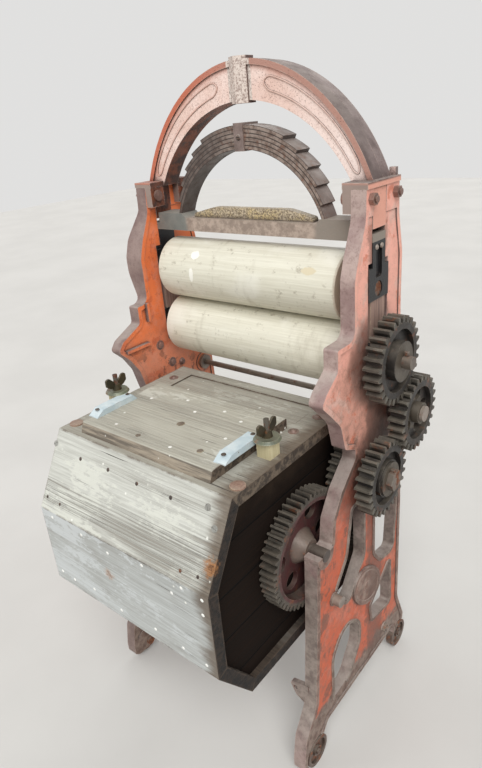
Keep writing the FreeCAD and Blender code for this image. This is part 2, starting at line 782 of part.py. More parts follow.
def lower_roller_shaft():
    """Shaft that carries the roller gear; its turned-down free end takes a crank."""
    seat_x = train_x + train_face + roller_gear_hub_proud
    shaft = bar_x(journal_radius, -frame_outer_x + 4, seat_x, 0, lower_axis_z)
    seat = bar_x(crank_seat_radius, seat_x - 1, seat_x + shaft_end, 0, lower_axis_z)
    return shaft.fuse(seat).removeSplitter()


# Gears


def gear_phase(own_teeth, other_phase, other_teeth, direction):
    """Angle of a tooth that meshes with another gear seen from that gear at direction, in degrees."""
    other_pitch = 360.0 / other_teeth
    own_pitch = 360.0 / own_teeth
    share = (direction - other_phase) / other_pitch
    return direction + 180 - own_pitch * (0.5 - share)


def tooth_half_angle(module, teeth, radius):
    """Half the angle a tooth covers at a radius, from the involute of its base circle."""
    alpha = math.radians(pressure_angle)
    pitch_radius = module * teeth / 2
    base_radius = pitch_radius * math.cos(alpha)
    roll = math.acos(min(1.0, base_radius / max(radius, base_radius)))
    at_pitch = math.pi / (2 * teeth) - backlash / (4 * pitch_radius)
    return at_pitch + (math.tan(alpha) - alpha) - (math.tan(roll) - roll)


def gear_blank(module, teeth, x0, x1, y, z, phase):
    """Toothed disc along X with a tooth at the phase angle."""
    pitch_radius = module * teeth / 2
    radii = [pitch_radius - dedendum_factor * module, pitch_radius, pitch_radius + addendum_factor * module]
    points = []
    for k in range(teeth):
        centre = math.radians(phase) + 2 * math.pi * k / teeth
        for radius, side in [(r, -1) for r in radii] + [(r, 1) for r in reversed(radii)]:
            turn = centre + side * tooth_half_angle(module, teeth, radius)
            points.append(V(x0, y + radius * math.cos(turn), z + radius * math.sin(turn)))
    return Part.Face(Part.makePolygon(points + points[:1])).extrude(V(x1 - x0, 0, 0))


def dish(blank, rim_radius, hub, x0, x1, y, z):
    """Hollow both sides of a gear between hub and rim, leaving a web in the middle."""
    middle = (x0 + x1) / 2
    for low, high in ((x0 - 1, middle - gear_web / 2), (middle + gear_web / 2, x1 + 1)):
        ring = bar_x(rim_radius, low, high, y, z).cut(bar_x(hub, low - 1, high + 1, y, z))
        blank = blank.cut(ring)
    return blank


def rim_inside(module, teeth):
    return module * teeth / 2 - dedendum_factor * module - gear_rim


def roller_gear(phase):
    """Gear on the lower roller: dished, with a broad proud hub."""
    x1 = train_x + train_face
    gear = gear_blank(train_module, roller_gear_teeth, train_x, x1, 0, lower_axis_z, phase)
    gear = dish(gear, rim_inside(train_module, roller_gear_teeth), hub_radius, train_x, x1, 0, lower_axis_z)
    gear = gear.fuse(bar_x(hub_radius, x1 - 1, x1 + roller_gear_hub_proud, 0, lower_axis_z))
    return gear.cut(bar_x(journal_radius, 0, beyond_x, 0, lower_axis_z)).removeSplitter()


def idler_gear(phase):
    """Idler with round windows between hub and rim."""
    x1 = idler_x + train_face
    inside = rim_inside(train_module, idler_teeth)
    hub = idler_stud_radius + 14
    gear = gear_blank(train_module, idler_teeth, idler_x, x1, idler_y, idler_z, phase)
    gear = dish(gear, inside, hub, idler_x, x1, idler_y, idler_z)
    gear = gear.fuse(bar_x(hub, x1 - 1, x1 + idler_hub_proud, idler_y, idler_z))
    ring = (inside + hub) / 2
    for k in range(5):
        turn = math.radians(72 * k)
        gear = gear.cut(bar_x((inside - hub) / 2 - 3, 0, beyond_x, idler_y + ring * math.cos(turn),
                              idler_z + ring * math.sin(turn)))
    bore = bar_x(idler_stud_radius + running_clearance, 0, beyond_x, idler_y, idler_z)
    return gear.cut(bore).removeSplitter()


def drive_gear(phase):
    """Gear on the outer end of the drive shaft."""
    x1 = train_x + train_face
    gear = gear_blank(train_module, drive_teeth, train_x, x1, drive_y, drive_z, phase)
    gear = dish(gear, rim_inside(train_module, drive_teeth), hub_radius, train_x, x1, drive_y, drive_z)
    gear = gear.fuse(bar_x(hub_radius - 4, x1 - 1, x1 + 6, drive_y, drive_z))
    return gear.cut(bar_x(drive_shaft_radius, 0, beyond_x, drive_y, drive_z)).removeSplitter()


def drum_pinion(phase):
    """Pinion between the gear-side frame and the box."""
    gear = gear_blank(box_module, pinion_teeth, box_gear_end_x - pinion_face, box_gear_end_x,
                      drive_y, drive_z, phase)
    return gear.cut(bar_x(drive_shaft_radius, 0, beyond_x, drive_y, drive_z))


def drive_shaft():
    """Stub shaft through the gear-side frame, nutted outside the gear."""
    x1 = train_x + train_face + 6
    shaft = bar_x(drive_shaft_radius, box_gear_end_x - pinion_face, x1 + 5, drive_y, drive_z)
    return shaft.fuse(hex_x(drive_shaft_radius + 8, x1, x1 + 14, drive_y, drive_z)).removeSplitter()


def drum_gear(phase):
    """Large gear fixed to the box end, windowed web and coned hub."""
    x0 = box_gear_end_x - box_gear_face
    inside = rim_inside(box_module, box_gear_teeth)
    gear = gear_blank(box_module, box_gear_teeth, x0, box_gear_end_x, pivot_y, pivot_z, phase)
    gear = gear.cut(bar_x(inside, x0 + gear_web, beyond_x, pivot_y, pivot_z))
    base = V(x0, pivot_y, pivot_z)
    cone = Part.makeCone(hub_radius + 6, trunnion_radius + 9, box_gear_face, base, V(1, 0, 0))
    gear = gear.fuse(cone).fuse(bar_x(hub_radius, panel_outer_x, x0 + 1, pivot_y, pivot_z))
    ring = (inside + hub_radius) / 2 + 2
    for k in range(6):
        turn = math.radians(60 * k)
        gear = gear.cut(bar_x(22, 0, x0 + gear_web + 1, pivot_y + ring * math.cos(turn),
                              pivot_z + ring * math.sin(turn)))
    return gear.cut(bar_x(trunnion_radius, 0, beyond_x, pivot_y, pivot_z)).removeSplitter()


# Washing box


def box_corners(inset):
    """The eight corners of the box section (y, z), moved inwards by an inset."""
    raw = [(-box_top_half, box_half_height), (-box_side_half, box_upper_corner),
           (-box_side_half, -box_lower_corner), (-box_top_half, -box_half_height),
           (box_top_half, -box_half_height), (box_side_half, -box_lower_corner),
           (box_side_half, box_upper_corner), (box_top_half, box_half_height)]
    moved = []
    for index, (y, z) in enumerate(raw):
        here = V(0, y, z)
        ahead = (V(0, *raw[(index + 1) % 8]) - here).normalize()
        back = (V(0, *raw[index - 1]) - here).normalize()
        half = ahead.getAngle(back) / 2
        spot = here + (ahead + back).normalize() * (inset / math.sin(half))
        moved.append((pivot_y + spot.y, pivot_z + spot.z))
    return moved


def box_board(index):
    """Board on one side of the section, mitred at both edges."""
    outer = box_corners(0)
    inner = box_corners(board_thickness)
    following = (index + 1) % 8
    points = [outer[index], outer[following], inner[following], inner[index]]
    return side_plate([(y, z, 0) for y, z in points], -box_half_length, box_half_length)


def top_board():
    """Top of the box with the opening under the lid and a sunk strip behind it."""
    board = box_board(7)
    hole = box(-lid_half_length + lid_lap, lid_half_length - lid_lap, lid_front_y + lid_lap,
               lid_rear_y - lid_lap, box_top_z - 3 * board_thickness, box_top_z + 1)
    strip = box(-strip_half, strip_half, strip_front_y, strip_rear_y, box_top_z - strip_depth, box_top_z + 1)
    return board.cut(hole).cut(strip)


def end_panel():
    """Panel set inside the boards, bored for the trunnion."""
    points = [(y, z, 0) for y, z in box_corners(board_thickness)]
    panel = side_plate(points, panel_outer_x - board_thickness, panel_outer_x)
    return panel.cut(bar_x(trunnion_radius, 0, beyond_x, pivot_y, pivot_z))


def trunnion():
    """Trunnion with a flange inside the box."""
    inside = panel_outer_x - board_thickness
    shaft = bar_x(trunnion_radius, inside, frame_outer_x + trunnion_end_gap, pivot_y, pivot_z)
    return shaft.fuse(bar_x(hub_radius, inside - 8, inside, pivot_y, pivot_z)).removeSplitter()


def far_trunnion():
    """Trunnion of the plain side, with a second flange outside the panel."""
    plate = bar_x(hub_radius + 10, panel_outer_x, panel_outer_x + 8, pivot_y, pivot_z)
    return mirrored(trunnion().fuse(plate).removeSplitter())


# Lid and clamps


def lid():
    """Loose lid with a bevelled front edge and a plug that drops into the opening."""
    section = [(lid_front_y, box_top_z, 0), (lid_front_y + lid_bevel, lid_top_z, 4),
               (lid_rear_y, lid_top_z, 2), (lid_rear_y, box_top_z, 0)]
    board = side_plate(section, -lid_half_length, lid_half_length)
    inset = lid_lap + lid_plug_clearance
    plug = box(-lid_half_length + inset, lid_half_length - inset, lid_front_y + inset, lid_rear_y - inset,
               box_top_z - lid_plug_depth, box_top_z + 1)
    return board.fuse(plug).removeSplitter()


def clamp_bar():
    """Iron bar with tapered ends along the side edge of the lid."""
    x1 = lid_half_length + bar_from_lid_edge
    x0 = x1 - bar_width
    taper = bar_thickness * 1.6
    bar = side_plate([(bar_front_y, lid_top_z, 0), (bar_front_y + taper, bar_top_z, 3),
                      (bar_rear_y - taper / 2, bar_top_z, 3), (bar_rear_y, lid_top_z, 0)], x0, x1)
    return bar


def clamp_post():
    """Wooden block on the box top with the clamp's stud."""
    block = box(post_x - post_half, post_x + post_half, post_y - post_half, post_y + post_half,
                box_top_z, bar_top_z)
    stud = Part.makeCylinder(stud_radius, stud_length, V(post_x, post_y, bar_top_z))
    return block.fuse(stud).removeSplitter()


def clamp_washer():
    """Cupped washer that bears on the post and on the clamp bar."""
    base = V(post_x, post_y, bar_top_z)
    disc = Part.makeCone(washer_radius, washer_radius - 4, washer_thickness, base)
    bore = Part.makeCylinder(stud_radius + running_clearance, 2 * stud_length, base - V(0, 0, stud_length))
    return disc.cut(bore)


def wing_nut():
    """Nut with two upswept wings along Y."""
    z0 = bar_top_z + washer_thickness
    hub = Part.makeCone(nut_hub_radius, nut_hub_radius - 3, nut_height, V(post_x, post_y, z0))
    tip_y = post_y + wing_span
    tip_z = z0 + nut_height + wing_rise
    wing = side_plate([(post_y, z0 + 2, 0), (tip_y - 10, z0 + 8, 4), (tip_y, z0 + 16, 5), (tip_y, tip_z, 6),
                       (tip_y - 12, tip_z, 6), (post_y, z0 + nut_height, 0)],
                      post_x - wing_thickness / 2, post_x + wing_thickness / 2)
    other = wing.copy()
    other.rotate(V(post_x, post_y, 0), V(0, 0, 1), 180)
    bore = Part.makeCylinder(stud_radius + running_clearance, 200, V(post_x, post_y, z0 - 100))
    return hub.fuse([wing, other]).cut(bore).removeSplitter()


# Wheels


def wheel(axle_y):
    """Small iron wheel with its axle, headed on the inner side of the frame."""
    x0 = wheel_seat_x + wheel_side_gap
    x1 = x0 + wheel_width
    tyre = bar_x(wheel_radius, x0, x1, axle_y, wheel_radius)
    tyre = tyre.cut(bar_x(wheel_radius - 9, x1 - 6, x1 + 1, axle_y, wheel_radius))
    axle = bar_x(axle_radius, frame_inner_x - 8, x1 + 4, axle_y, wheel_radius)
    head = bar_x(axle_radius + 5, frame_inner_x - 8, frame_inner_x - wheel_side_gap, axle_y, wheel_radius)
    hub = bar_x(axle_radius + 6, x1 - 7, x1, axle_y, wheel_radius)
    return tyre.fuse([axle, head, hub]).removeSplitter()


def build():
    """All nodes by name."""
    drum_phase = 0.0
    drive_direction = math.degrees(math.atan2(drive_z - pivot_z, drive_y - pivot_y))
    idler_direction = math.degrees(math.atan2(idler_z - drive_z, idler_y - drive_y))
    roller_direction = math.degrees(math.atan2(lower_axis_z - idler_z, -idler_y))
    pinion_phase = gear_phase(pinion_teeth, drum_phase, box_gear_teeth, drive_direction)
    idler_phase = gear_phase(idler_teeth, 0.0, drive_teeth, idler_direction)
    roller_phase = gear_phase(roller_gear_teeth, idler_phase, idler_teeth, roller_direction)
    nodes = {
        "right_end_frame": right_end_frame(),
        "left_end_frame": left_end_frame(),
        "crown_arch": crown_arch(),
        "stop_peg": stop_peg(),
        "stay_rod": stay_rod(),
        "lower_stay": lower_stay(),
        "pressure_beam": pressure_beam(),
        "spring_buckle": spring_buckle(),
        "upper_roller": wooden_roller(upper_axis_z),
        "upper_roller_shaft": upper_roller_shaft(),
        "lower_roller": wooden_roller(lower_axis_z),
        "lower_roller_shaft": lower_roller_shaft(),
        "roller_gear": roller_gear(roller_phase),
        "idler_gear": idler_gear(idler_phase),
        "drive_gear": drive_gear(0.0),
        "drive_shaft": drive_shaft(),
        "drum_pinion": drum_pinion(pinion_phase),
        "drum_gear": drum_gear(drum_phase),
        "box_top": top_board(),
        "lid": lid(),
        "right_trunnion": trunnion(),
        "left_trunnion": far_trunnion(),
    }
    for index in range(leaf_count):
        nodes["spring_leaf_%d" % (index + 1)] = spring_leaf(index)
    boards = ["box_front_upper", "box_front_middle", "box_front_lower", "box_bottom",
              "box_rear_lower", "box_rear_middle", "box_rear_upper"]
    for index, name in enumerate(boards):
        nodes[name] = box_board(index)
    pairs = {
        "lower_bearing": lower_bearing(),
        "packing": packing_block(),
        "upper_bearing": upper_bearing(),
        "end_panel": end_panel(),
        "clamp_bar": clamp_bar(),
        "clamp_post": clamp_post(),
        "clamp_washer": clamp_washer(),
        "wing_nut": wing_nut(),
        "front_wheel": wheel(front_axle_y),
        "rear_wheel": wheel(rear_axle_y),
        "arch_bolt_front": arch_bolt(arch_bolt_places()[0]),
        "arch_bolt_rear": arch_bolt(arch_bolt_places()[1]),
    }
    for name, shape in pairs.items():
        nodes["right_" + name] = shape
        nodes["left_" + name] = mirrored(shape)
    return nodes


def to_floor_centre(nodes):
    """Move every node so that the origin is the middle of the footprint on the floor."""
    bounds = FreeCAD.BoundBox()
    for shape in nodes.values():
        bounds.add(shape.BoundBox)
    move = V(-(bounds.XMin + bounds.XMax) / 2, -(bounds.YMin + bounds.YMax) / 2, -bounds.ZMin)
    for shape in nodes.values():
        shape.translate(move)
    return move


all_nodes = build()
to_floor_centre(all_nodes)
for node_name, node_shape in all_nodes.items():
    node_shape.exportStep("parts/%s.step" % node_name)
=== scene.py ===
# %% [markdown]
# # Dressing a mangle with a washing box
# The CAD frame holds every casting, board, roller and gear in its place. This lesson gives them their looks: worn
# paint over cast iron, scrubbed rollers, weathered boards, and the small fasteners that the solids leave out.
# The frame is loaded first, and its box is kept.

# %% Load the frame
import math
import random
from functools import partial
import bmesh
import bpy
from mathutils import Matrix, Vector


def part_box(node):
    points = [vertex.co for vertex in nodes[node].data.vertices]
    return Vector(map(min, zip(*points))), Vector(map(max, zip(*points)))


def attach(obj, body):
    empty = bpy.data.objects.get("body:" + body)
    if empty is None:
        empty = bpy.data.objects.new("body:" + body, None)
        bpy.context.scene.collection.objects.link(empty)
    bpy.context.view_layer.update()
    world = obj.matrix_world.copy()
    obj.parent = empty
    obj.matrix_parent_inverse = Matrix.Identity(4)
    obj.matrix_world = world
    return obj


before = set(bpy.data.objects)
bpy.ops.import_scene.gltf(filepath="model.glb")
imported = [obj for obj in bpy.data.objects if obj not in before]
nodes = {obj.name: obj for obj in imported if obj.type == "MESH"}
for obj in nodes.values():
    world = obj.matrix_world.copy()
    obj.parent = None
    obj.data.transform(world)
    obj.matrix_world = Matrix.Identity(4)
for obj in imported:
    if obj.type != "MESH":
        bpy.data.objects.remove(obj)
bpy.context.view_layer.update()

# %% [markdown]
# ## A datum on the rollers
# A fitter measures this machine from its rollers, so small pieces are placed the same way: in millimetres from the
# middle of the lower roller, with heights from the floor. Reading the roller's box from the frame keeps every piece
# in step with the CAD, where typed world positions would drift as soon as the model moves.

# %% Datum
roller_low, roller_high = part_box("lower_roller")
axis_x = (roller_low.x + roller_high.x) / 2
axis_y = (roller_low.y + roller_high.y) / 2


def spot(x, y, z):
    """Place in metres for millimetres from the middle of the rollers, z from the floor."""
    return Vector((axis_x + x / 1000, axis_y + y / 1000, z / 1000))


print("roller middle at", round(axis_x, 4), round(axis_y, 4))

# %% [markdown]
# ## The camera
# The photo was taken from the gear side, looking down a little. A camera is fully known from its place, three turns,
# the focal length and the point where its axis meets the picture. Those values were fitted to straight edges and
# circles of the machine, and the lens follows from them.

# %% Camera
picture_width, picture_height = 482, 768
focal_pixels = 595.94
axis_pixel_x, axis_pixel_y = 245.77, 381.72
camera_spot = (905.3, -1135.1, 1537.4)
heading, tilt, lean = math.radians(40.51), math.radians(24), math.radians(-4.95)

ahead = Vector((-math.sin(heading) * math.cos(tilt), math.cos(heading) * math.cos(tilt), -math.sin(tilt)))
level = Vector((math.cos(heading), math.sin(heading), 0))
upward = level.cross(ahead)
right = level * math.cos(lean) + upward * math.sin(lean)
top = upward * math.cos(lean) - level * math.sin(lean)

lens = bpy.data.cameras.new("photo_view")
lens.sensor_width = 36
lens.lens = focal_pixels * lens.sensor_width / picture_height
lens.shift_x = (picture_width / 2 - axis_pixel_x) / picture_height
lens.shift_y = (axis_pixel_y - picture_height / 2) / picture_height
camera = bpy.data.objects.new("photo_view", lens)
turn = Matrix((right, top, -ahead)).transposed().to_4x4()
camera.matrix_world = Matrix.Translation(spot(*camera_spot)) @ turn
bpy.context.scene.collection.objects.link(camera)
bpy.context.scene.camera = camera
bpy.context.scene.view_settings.view_transform = "Standard"
print("lens:", round(lens.lens, 2), "mm")

# %% [markdown]
# ## Helpers for nodes
# Materials here are built from code, and raw node code is long. A few short functions lay a node, set or link its
# inputs by name, and offer the sums that every finish needs. They all work in one tree at a time, which the desk holds.
# Colours are written as a picture shows them and changed to the linear values that the renderer works in.

# %% Node helpers
desk = {}


def feed(socket, value):
    """Links a socket to another one, or sets it to a value."""
    if isinstance(value, bpy.types.NodeSocket):
        desk["tree"].links.new(value, socket)
    else:
        socket.default_value = value


def lay(kind, inputs=None, **settings):
    """Lays a node, with its inputs by name or number."""
    made = desk["tree"].nodes.new(kind)
    for name, value in settings.items():
        setattr(made, name, value)
    for name, value in (inputs or {}).items():
        feed(made.inputs[name], value)
    return made


def use(group, **inputs):
    return lay("ShaderNodeGroup", inputs, node_tree=group).outputs


def noise(where, scale, detail=5, rough=0.55):
    inputs = {"Vector": where, "Scale": scale, "Detail": detail, "Roughness": rough}
    return lay("ShaderNodeTexNoise", inputs).outputs[0]


def span(value, low, high, start=0, end=1):
    """Smooth step from start to end while value goes from low to high."""
    limits = {"Value": value, "From Min": low, "From Max": high, "To Min": start, "To Max": end}
    return lay("ShaderNodeMapRange", limits, interpolation_type="SMOOTHSTEP").outputs[0]


def tint(red, green, blue):
    """A picture colour, 0 to 255, as linear light."""
    shares = [value / 255 for value in (red, green, blue)]
    return (*(v / 12.92 if v <= 0.04045 else ((v + 0.055) / 1.055) ** 2.4 for v in shares), 1)


def blend(factor, under, over):
    """Mixes two colours, each from a socket or written as a picture colour."""
    under, over = (tint(*c) if isinstance(c, tuple) else c for c in (under, over))
    return lay("ShaderNodeMix", {0: factor, 6: under, 7: over}, data_type="RGBA").outputs[2]


print("colours: orange paint is", [round(v, 3) for v in tint(214, 102, 50)])

# %% [markdown]
# ### Sums
# Masks are multiplied, heights are added, and places are measured, so each of these sums has a name of its own.

# %% Sums on nodes
def calc(operation, a, b=0):
    return lay("ShaderNodeMath", {0: a, 1: b}, operation=operation).outputs[0]


times, plus, minus, larger = (partial(calc, name) for name in ("MULTIPLY", "ADD", "SUBTRACT", "MAXIMUM"))
magnitude = partial(calc, "ABSOLUTE")


def measure(operation, a, b=(0, 0, 0)):
    """A single number from vectors: a distance, a length or a dot product."""
    return lay("ShaderNodeVectorMath", {0: a, 1: b}, operation=operation).outputs["Value"]


def move(operation, vector, by):
    """A new vector: scaled by three factors, or taken from a point."""
    return lay("ShaderNodeVectorMath", {0: vector, 1: by}, operation=operation).outputs["Vector"]


def stretch(vector, x, y, z):
    return move("MULTIPLY", vector, (x, y, z))


def split(vector):
    return lay("ShaderNodeSeparateXYZ", {0: vector}).outputs


def join(**parts):
    return lay("ShaderNodeCombineXYZ", parts).outputs[0]


print("node helpers ready")

# %% [markdown]
# ## Floor, world and lamps
# The machine stands on a plain pale floor under soft studio light. The key light comes from above the camera, weaker
# ones from the left and the back, and the world fills the shadows. Sun lamps with a wide angle light the floor evenly,
# where area lamps would leave it dark at the horizon. Light Path lets the camera see a pale backdrop without adding
# any light to the object.

# %% Stage
bm = bmesh.new()
bmesh.ops.create_grid(bm, x_segments=2, y_segments=2, size=12)
floor_mesh = bpy.data.meshes.new("floor")
bm.to_mesh(floor_mesh)
bm.free()
floor = bpy.data.objects.new("floor", floor_mesh)
bpy.context.scene.collection.objects.link(floor)
floor_paint = bpy.data.materials.new("floor_paint")
floor_paint.use_nodes = True
desk["tree"] = floor_paint.node_tree
floor_shader = floor_paint.node_tree.nodes["Principled BSDF"]
floor_tone = span(noise(lay("ShaderNodeTexCoord").outputs["Object"], 1.5), 0.3, 0.7)
feed(floor_shader.inputs["Base Color"], blend(floor_tone, (197, 195, 191), (203, 201, 197)))
floor_shader.inputs["Roughness"].default_value = 0.8
floor_mesh.materials.append(floor_paint)

world = bpy.data.worlds.new("studio")
bpy.context.scene.world = world
world.use_nodes = True
desk["tree"] = world.node_tree
sky_light = world.node_tree.nodes["Background"]
rays = lay("ShaderNodeLightPath").outputs
seen = larger(rays["Is Camera Ray"], rays["Is Glossy Ray"])
seen = larger(seen, rays["Is Transmission Ray"])
feed(sky_light.inputs["Strength"], span(seen, 0, 1, 0.50, 0.75))
sky_light.inputs["Color"].default_value = (1, 0.995, 0.985, 1)


def lamp(name, toward, softness, strength):
    """Even soft light that comes from a direction."""
    data = bpy.data.lights.new(name, "SUN")
    data.angle = math.radians(softness)
    data.energy = strength
    made = bpy.data.objects.new(name, data)
    made.matrix_world = Vector(toward).to_track_quat("Z", "Y").to_matrix().to_4x4()
    bpy.context.scene.collection.objects.link(made)


lamp("key", (0.55, -0.62, 0.90), 40, 2.45)
lamp("left_fill", (-0.8, -0.4, 0.5), 60, 0.55)
lamp("back", (-0.2, 0.9, 0.6), 60, 0.6)
print("stage ready")

# %% [markdown]
# ## Shared effects as node groups
# Wear and dirt follow the same rules on every part: edges rub bare, corners hold grime and a painted shade, dust lies
# on what faces up, paint flakes in patches and iron rusts in blooms. Each rule is one node group with named inputs, so
# every finish can place it with its own values. A copied set of nodes would also work but would be tedious to correct.

# %% Group helper
def start_group(name, inputs, outputs):
    """New shader group with float or vector inputs, on the desk; returns it with its inputs and outputs."""
    tree = bpy.data.node_groups.new(name, "ShaderNodeTree")
    for label, value in inputs.items():
        kind = "NodeSocketVector" if value is None else "NodeSocketFloat"
        socket = tree.interface.new_socket(label, in_out="INPUT", socket_type=kind)
        if value is not None:
            socket.default_value = value
    for label, kind in outputs.items():
        tree.interface.new_socket(label, in_out="OUTPUT", socket_type="NodeSocket" + kind)
    given = tree.nodes.new("NodeGroupInput").outputs
    put = tree.nodes.new("NodeGroupOutput").inputs
    desk["tree"] = tree
    return tree, given, put


print("group helper ready")

# %% [markdown]
# ### Rubbed edges
# The Bevel node gives the normal that a rounded edge would have. Where it leans away from the true normal there is an
# edge, and a noise breaks the line up, because real wear is never an even band.

# %% Rubbed edges
rubbed_edges, given, put = start_group(
    "rubbed_edges", {"Vector": None, "Radius": 0.003, "Scale": 60}, {"Mask": "Float"})
rounded = lay("ShaderNodeBevel", {"Radius": given["Radius"]}, samples=4).outputs[0]
flat = lay("ShaderNodeNewGeometry").outputs["True Normal"]
edge = span(measure("DOT_PRODUCT", rounded, flat), 0.985, 0.86)
broken = span(noise(given["Vector"], given["Scale"], 6, 0.65), 0.38, 0.62)
feed(put["Mask"], times(edge, broken))
print("group:", rubbed_edges.name)

# %% [markdown]
# ### Grime and painted shade in corners
# Ambient occlusion finds places that see little of the open air. That is where oil and dirt stay when the rest is
# wiped, and where shade falls, so the darkening there is partly grime and partly painted shade. It looks at the piece
# alone, so that the dark stays with the piece when the machine is turned.

# %% Corner grime and painted shade
corner_grime_and_shade, given, put = start_group(
    "corner_grime_and_shade", {"Vector": None, "Reach": 0.03, "Scale": 30}, {"Mask": "Float"})
shade = lay("ShaderNodeAmbientOcclusion", {"Distance": given["Reach"]}, samples=6, only_local=True)
# Little open air means grime, and also the shade that falls there: this darkening is partly painted shade.
shut_in = span(shade.outputs["AO"], 0.82, 0.35)
patchy = span(noise(given["Vector"], given["Scale"], 5, 0.6), 0.2, 0.6, 0.35, 1)
feed(put["Mask"], times(shut_in, patchy))
print("group:", corner_grime_and_shade.name)

# %% [markdown]
# ### Settled dust
# Dust lies on faces that look up at rest. The normal in the piece's own space is used, so the dust turns with the box
# when the box turns, and a noise thins it out in blotches.

# %% Settled dust
settled_dust, given, put = start_group(
    "settled_dust", {"Vector": None, "Facing": None, "Amount": 0.7, "Scale": 18}, {"Mask": "Float"})
up_facing = span(split(given["Facing"])["Z"], 0.25, 0.9)
blotch = span(noise(given["Vector"], given["Scale"], 6, 0.6), 0.25, 0.65)
feed(put["Mask"], times(times(up_facing, blotch), given["Amount"]))
print("group:", settled_dust.name)

# %% [markdown]
# ### Flaking paint
# Old paint lets go in crisp patches with crumbs around them. Two noises are added, a coarse one for the patches and a
# fine one for their ragged rims, and a narrow step cuts the sum. The same step drives a small bump, because paint has
# a thickness and its broken rim catches the light.

# %% Flaking paint
flaking, given, put = start_group(
    "flaking", {"Vector": None, "Scale": 9, "Amount": 0.3}, {"Bare": "Float", "Height": "Float"})
coarse = noise(given["Vector"], given["Scale"], 4, 0.55)
fine = noise(given["Vector"], times(given["Scale"], 9), 6, 0.7)
sum_of_both = plus(times(coarse, 0.62), times(fine, 0.38))
cut = minus(0.78, times(given["Amount"], 0.5))
bare = span(minus(sum_of_both, cut), -0.015, 0.02)
feed(put["Bare"], bare)
feed(put["Height"], minus(1, bare))
print("group:", flaking.name)

# %% [markdown]
# ### Cast skin and rust
# Iron poured in sand keeps the grit of the mould: a fine uneven skin with small pits. Rust comes in blooms of two
# browns. Both are three-dimensional noises in object space, so they run round corners without a seam.

# %% Cast skin
cast_skin, given, put = start_group("cast_skin", {"Vector": None, "Scale": 180}, {"Height": "Float", "Pits": "Float"})
grit = noise(given["Vector"], given["Scale"], 4, 0.6)
cells = lay("ShaderNodeTexVoronoi", {"Vector": given["Vector"], "Scale": given["Scale"]})
pits = span(cells.outputs["Distance"], 0.28, 0.06)
thin_out = span(noise(given["Vector"], times(given["Scale"], 0.11), 3), 0.42, 0.62)
pits = times(pits, thin_out)
feed(put["Height"], minus(grit, times(pits, 0.8)))
feed(put["Pits"], pits)

rust_bloom, given, put = start_group(
    "rust_bloom", {"Vector": None, "Scale": 14, "Amount": 0.4}, {"Mask": "Float", "Colour": "Color"})
bloom = noise(given["Vector"], given["Scale"], 8, 0.68)
edge_of_bloom = minus(0.72, times(given["Amount"], 0.4))
feed(put["Mask"], span(minus(bloom, edge_of_bloom), -0.05, 0.09))
brown = span(noise(given["Vector"], times(given["Scale"], 5), 6, 0.7), 0.35, 0.65)
feed(put["Colour"], blend(brown, (78, 46, 34), (148, 88, 52)))
print("groups:", cast_skin.name, rust_bloom.name)

# %% [markdown]
# ### Wood grain
# Grain is a noise stretched along the board. Where another stretched noise passes its middle value it draws a thin
# line, and such lines, at two spacings, are the hard summer wood that stands proud when the soft wood washes away. An
# even wave would look like corrugated iron. The group takes a vector whose first part runs along the grain, so each
# board can turn it as its timber lies.

# %% Wood grain
wood_grain, given, put = start_group(
    "wood_grain", {"Vector": None, "Bands": 110, "Wander": 0.012}, {"Tone": "Float", "Lines": "Float"})
fibre = noise(stretch(given["Vector"], 7, 230, 230), 1, 6, 0.62)
sway = times(noise(stretch(given["Vector"], 2.4, 7, 7), 1, 2), given["Wander"])
part = split(given["Vector"])
line_place = join(X=times(part["X"], 0.9), Y=plus(part["Y"], sway))


def thin_lines(bands, width):
    """Lines where a stretched noise passes its middle."""
    value = noise(move("MULTIPLY", line_place, join(X=1, Y=bands, Z=1)), 1, 1.5, 0.5)
    return span(magnitude(minus(value, 0.5)), width, 0)


broad_lines = thin_lines(given["Bands"], 0.09)
fine_lines = times(thin_lines(times(given["Bands"], 2.2), 0.10), 0.6)
zone = span(noise(stretch(given["Vector"], 1.3, 14, 14), 1, 3), 0.36, 0.62, 0.18, 1)
feed(put["Tone"], fibre)
feed(put["Lines"], times(larger(broad_lines, fine_lines), zone))
print("group:", wood_grain.name)

# %% [markdown]
# ## Starting and closing a finish
# Every material starts the same way, with a Principled shader and the piece's own coordinates, and ends the same way,
# with colour, roughness and one Bump node. Values that are equal all over are set on the shader's own sockets.

# %% Start and close a finish
def start_finish(name):
    """New material on the desk; returns its shader, object place and object normal."""
    desk["material"] = bpy.data.materials.new(name)
    desk["material"].use_nodes = True
    desk["tree"] = desk["material"].node_tree
    place = lay("ShaderNodeTexCoord").outputs
    return desk["tree"].nodes["Principled BSDF"], place["Object"], place["Normal"]


def close_finish(shader, colour, rough, height, depth):
    """Feeds the shader, with height bumped by depth metres, and hands the material over."""
    feed(shader.inputs["Base Color"], colour)
    feed(shader.inputs["Roughness"], rough)
    bump = lay("ShaderNodeBump", {"Height": height, "Distance": depth, "Strength": 0.9})
    feed(shader.inputs["Normal"], bump.outputs[0])
    return desk["material"]


print("finishes can start and close")

# %% [markdown]
# ### What many finishes share
# The wear groups get one short function each. The others answer what many finishes ask: which way a face looks, how
# far it lies from an axle, and how its timber runs. Each finish is kept under the names of the nodes that wear it.

# %% Shared by finishes
def edge_mask(where, radius, scale):
    return use(rubbed_edges, Vector=where, Radius=radius, Scale=scale)["Mask"]


def grime_and_shade_mask(where, reach, scale):
    return use(corner_grime_and_shade, Vector=where, Reach=reach, Scale=scale)["Mask"]


def dust_mask(where, facing, amount, scale):
    return use(settled_dust, Vector=where, Facing=facing, Amount=amount, Scale=scale)["Mask"]


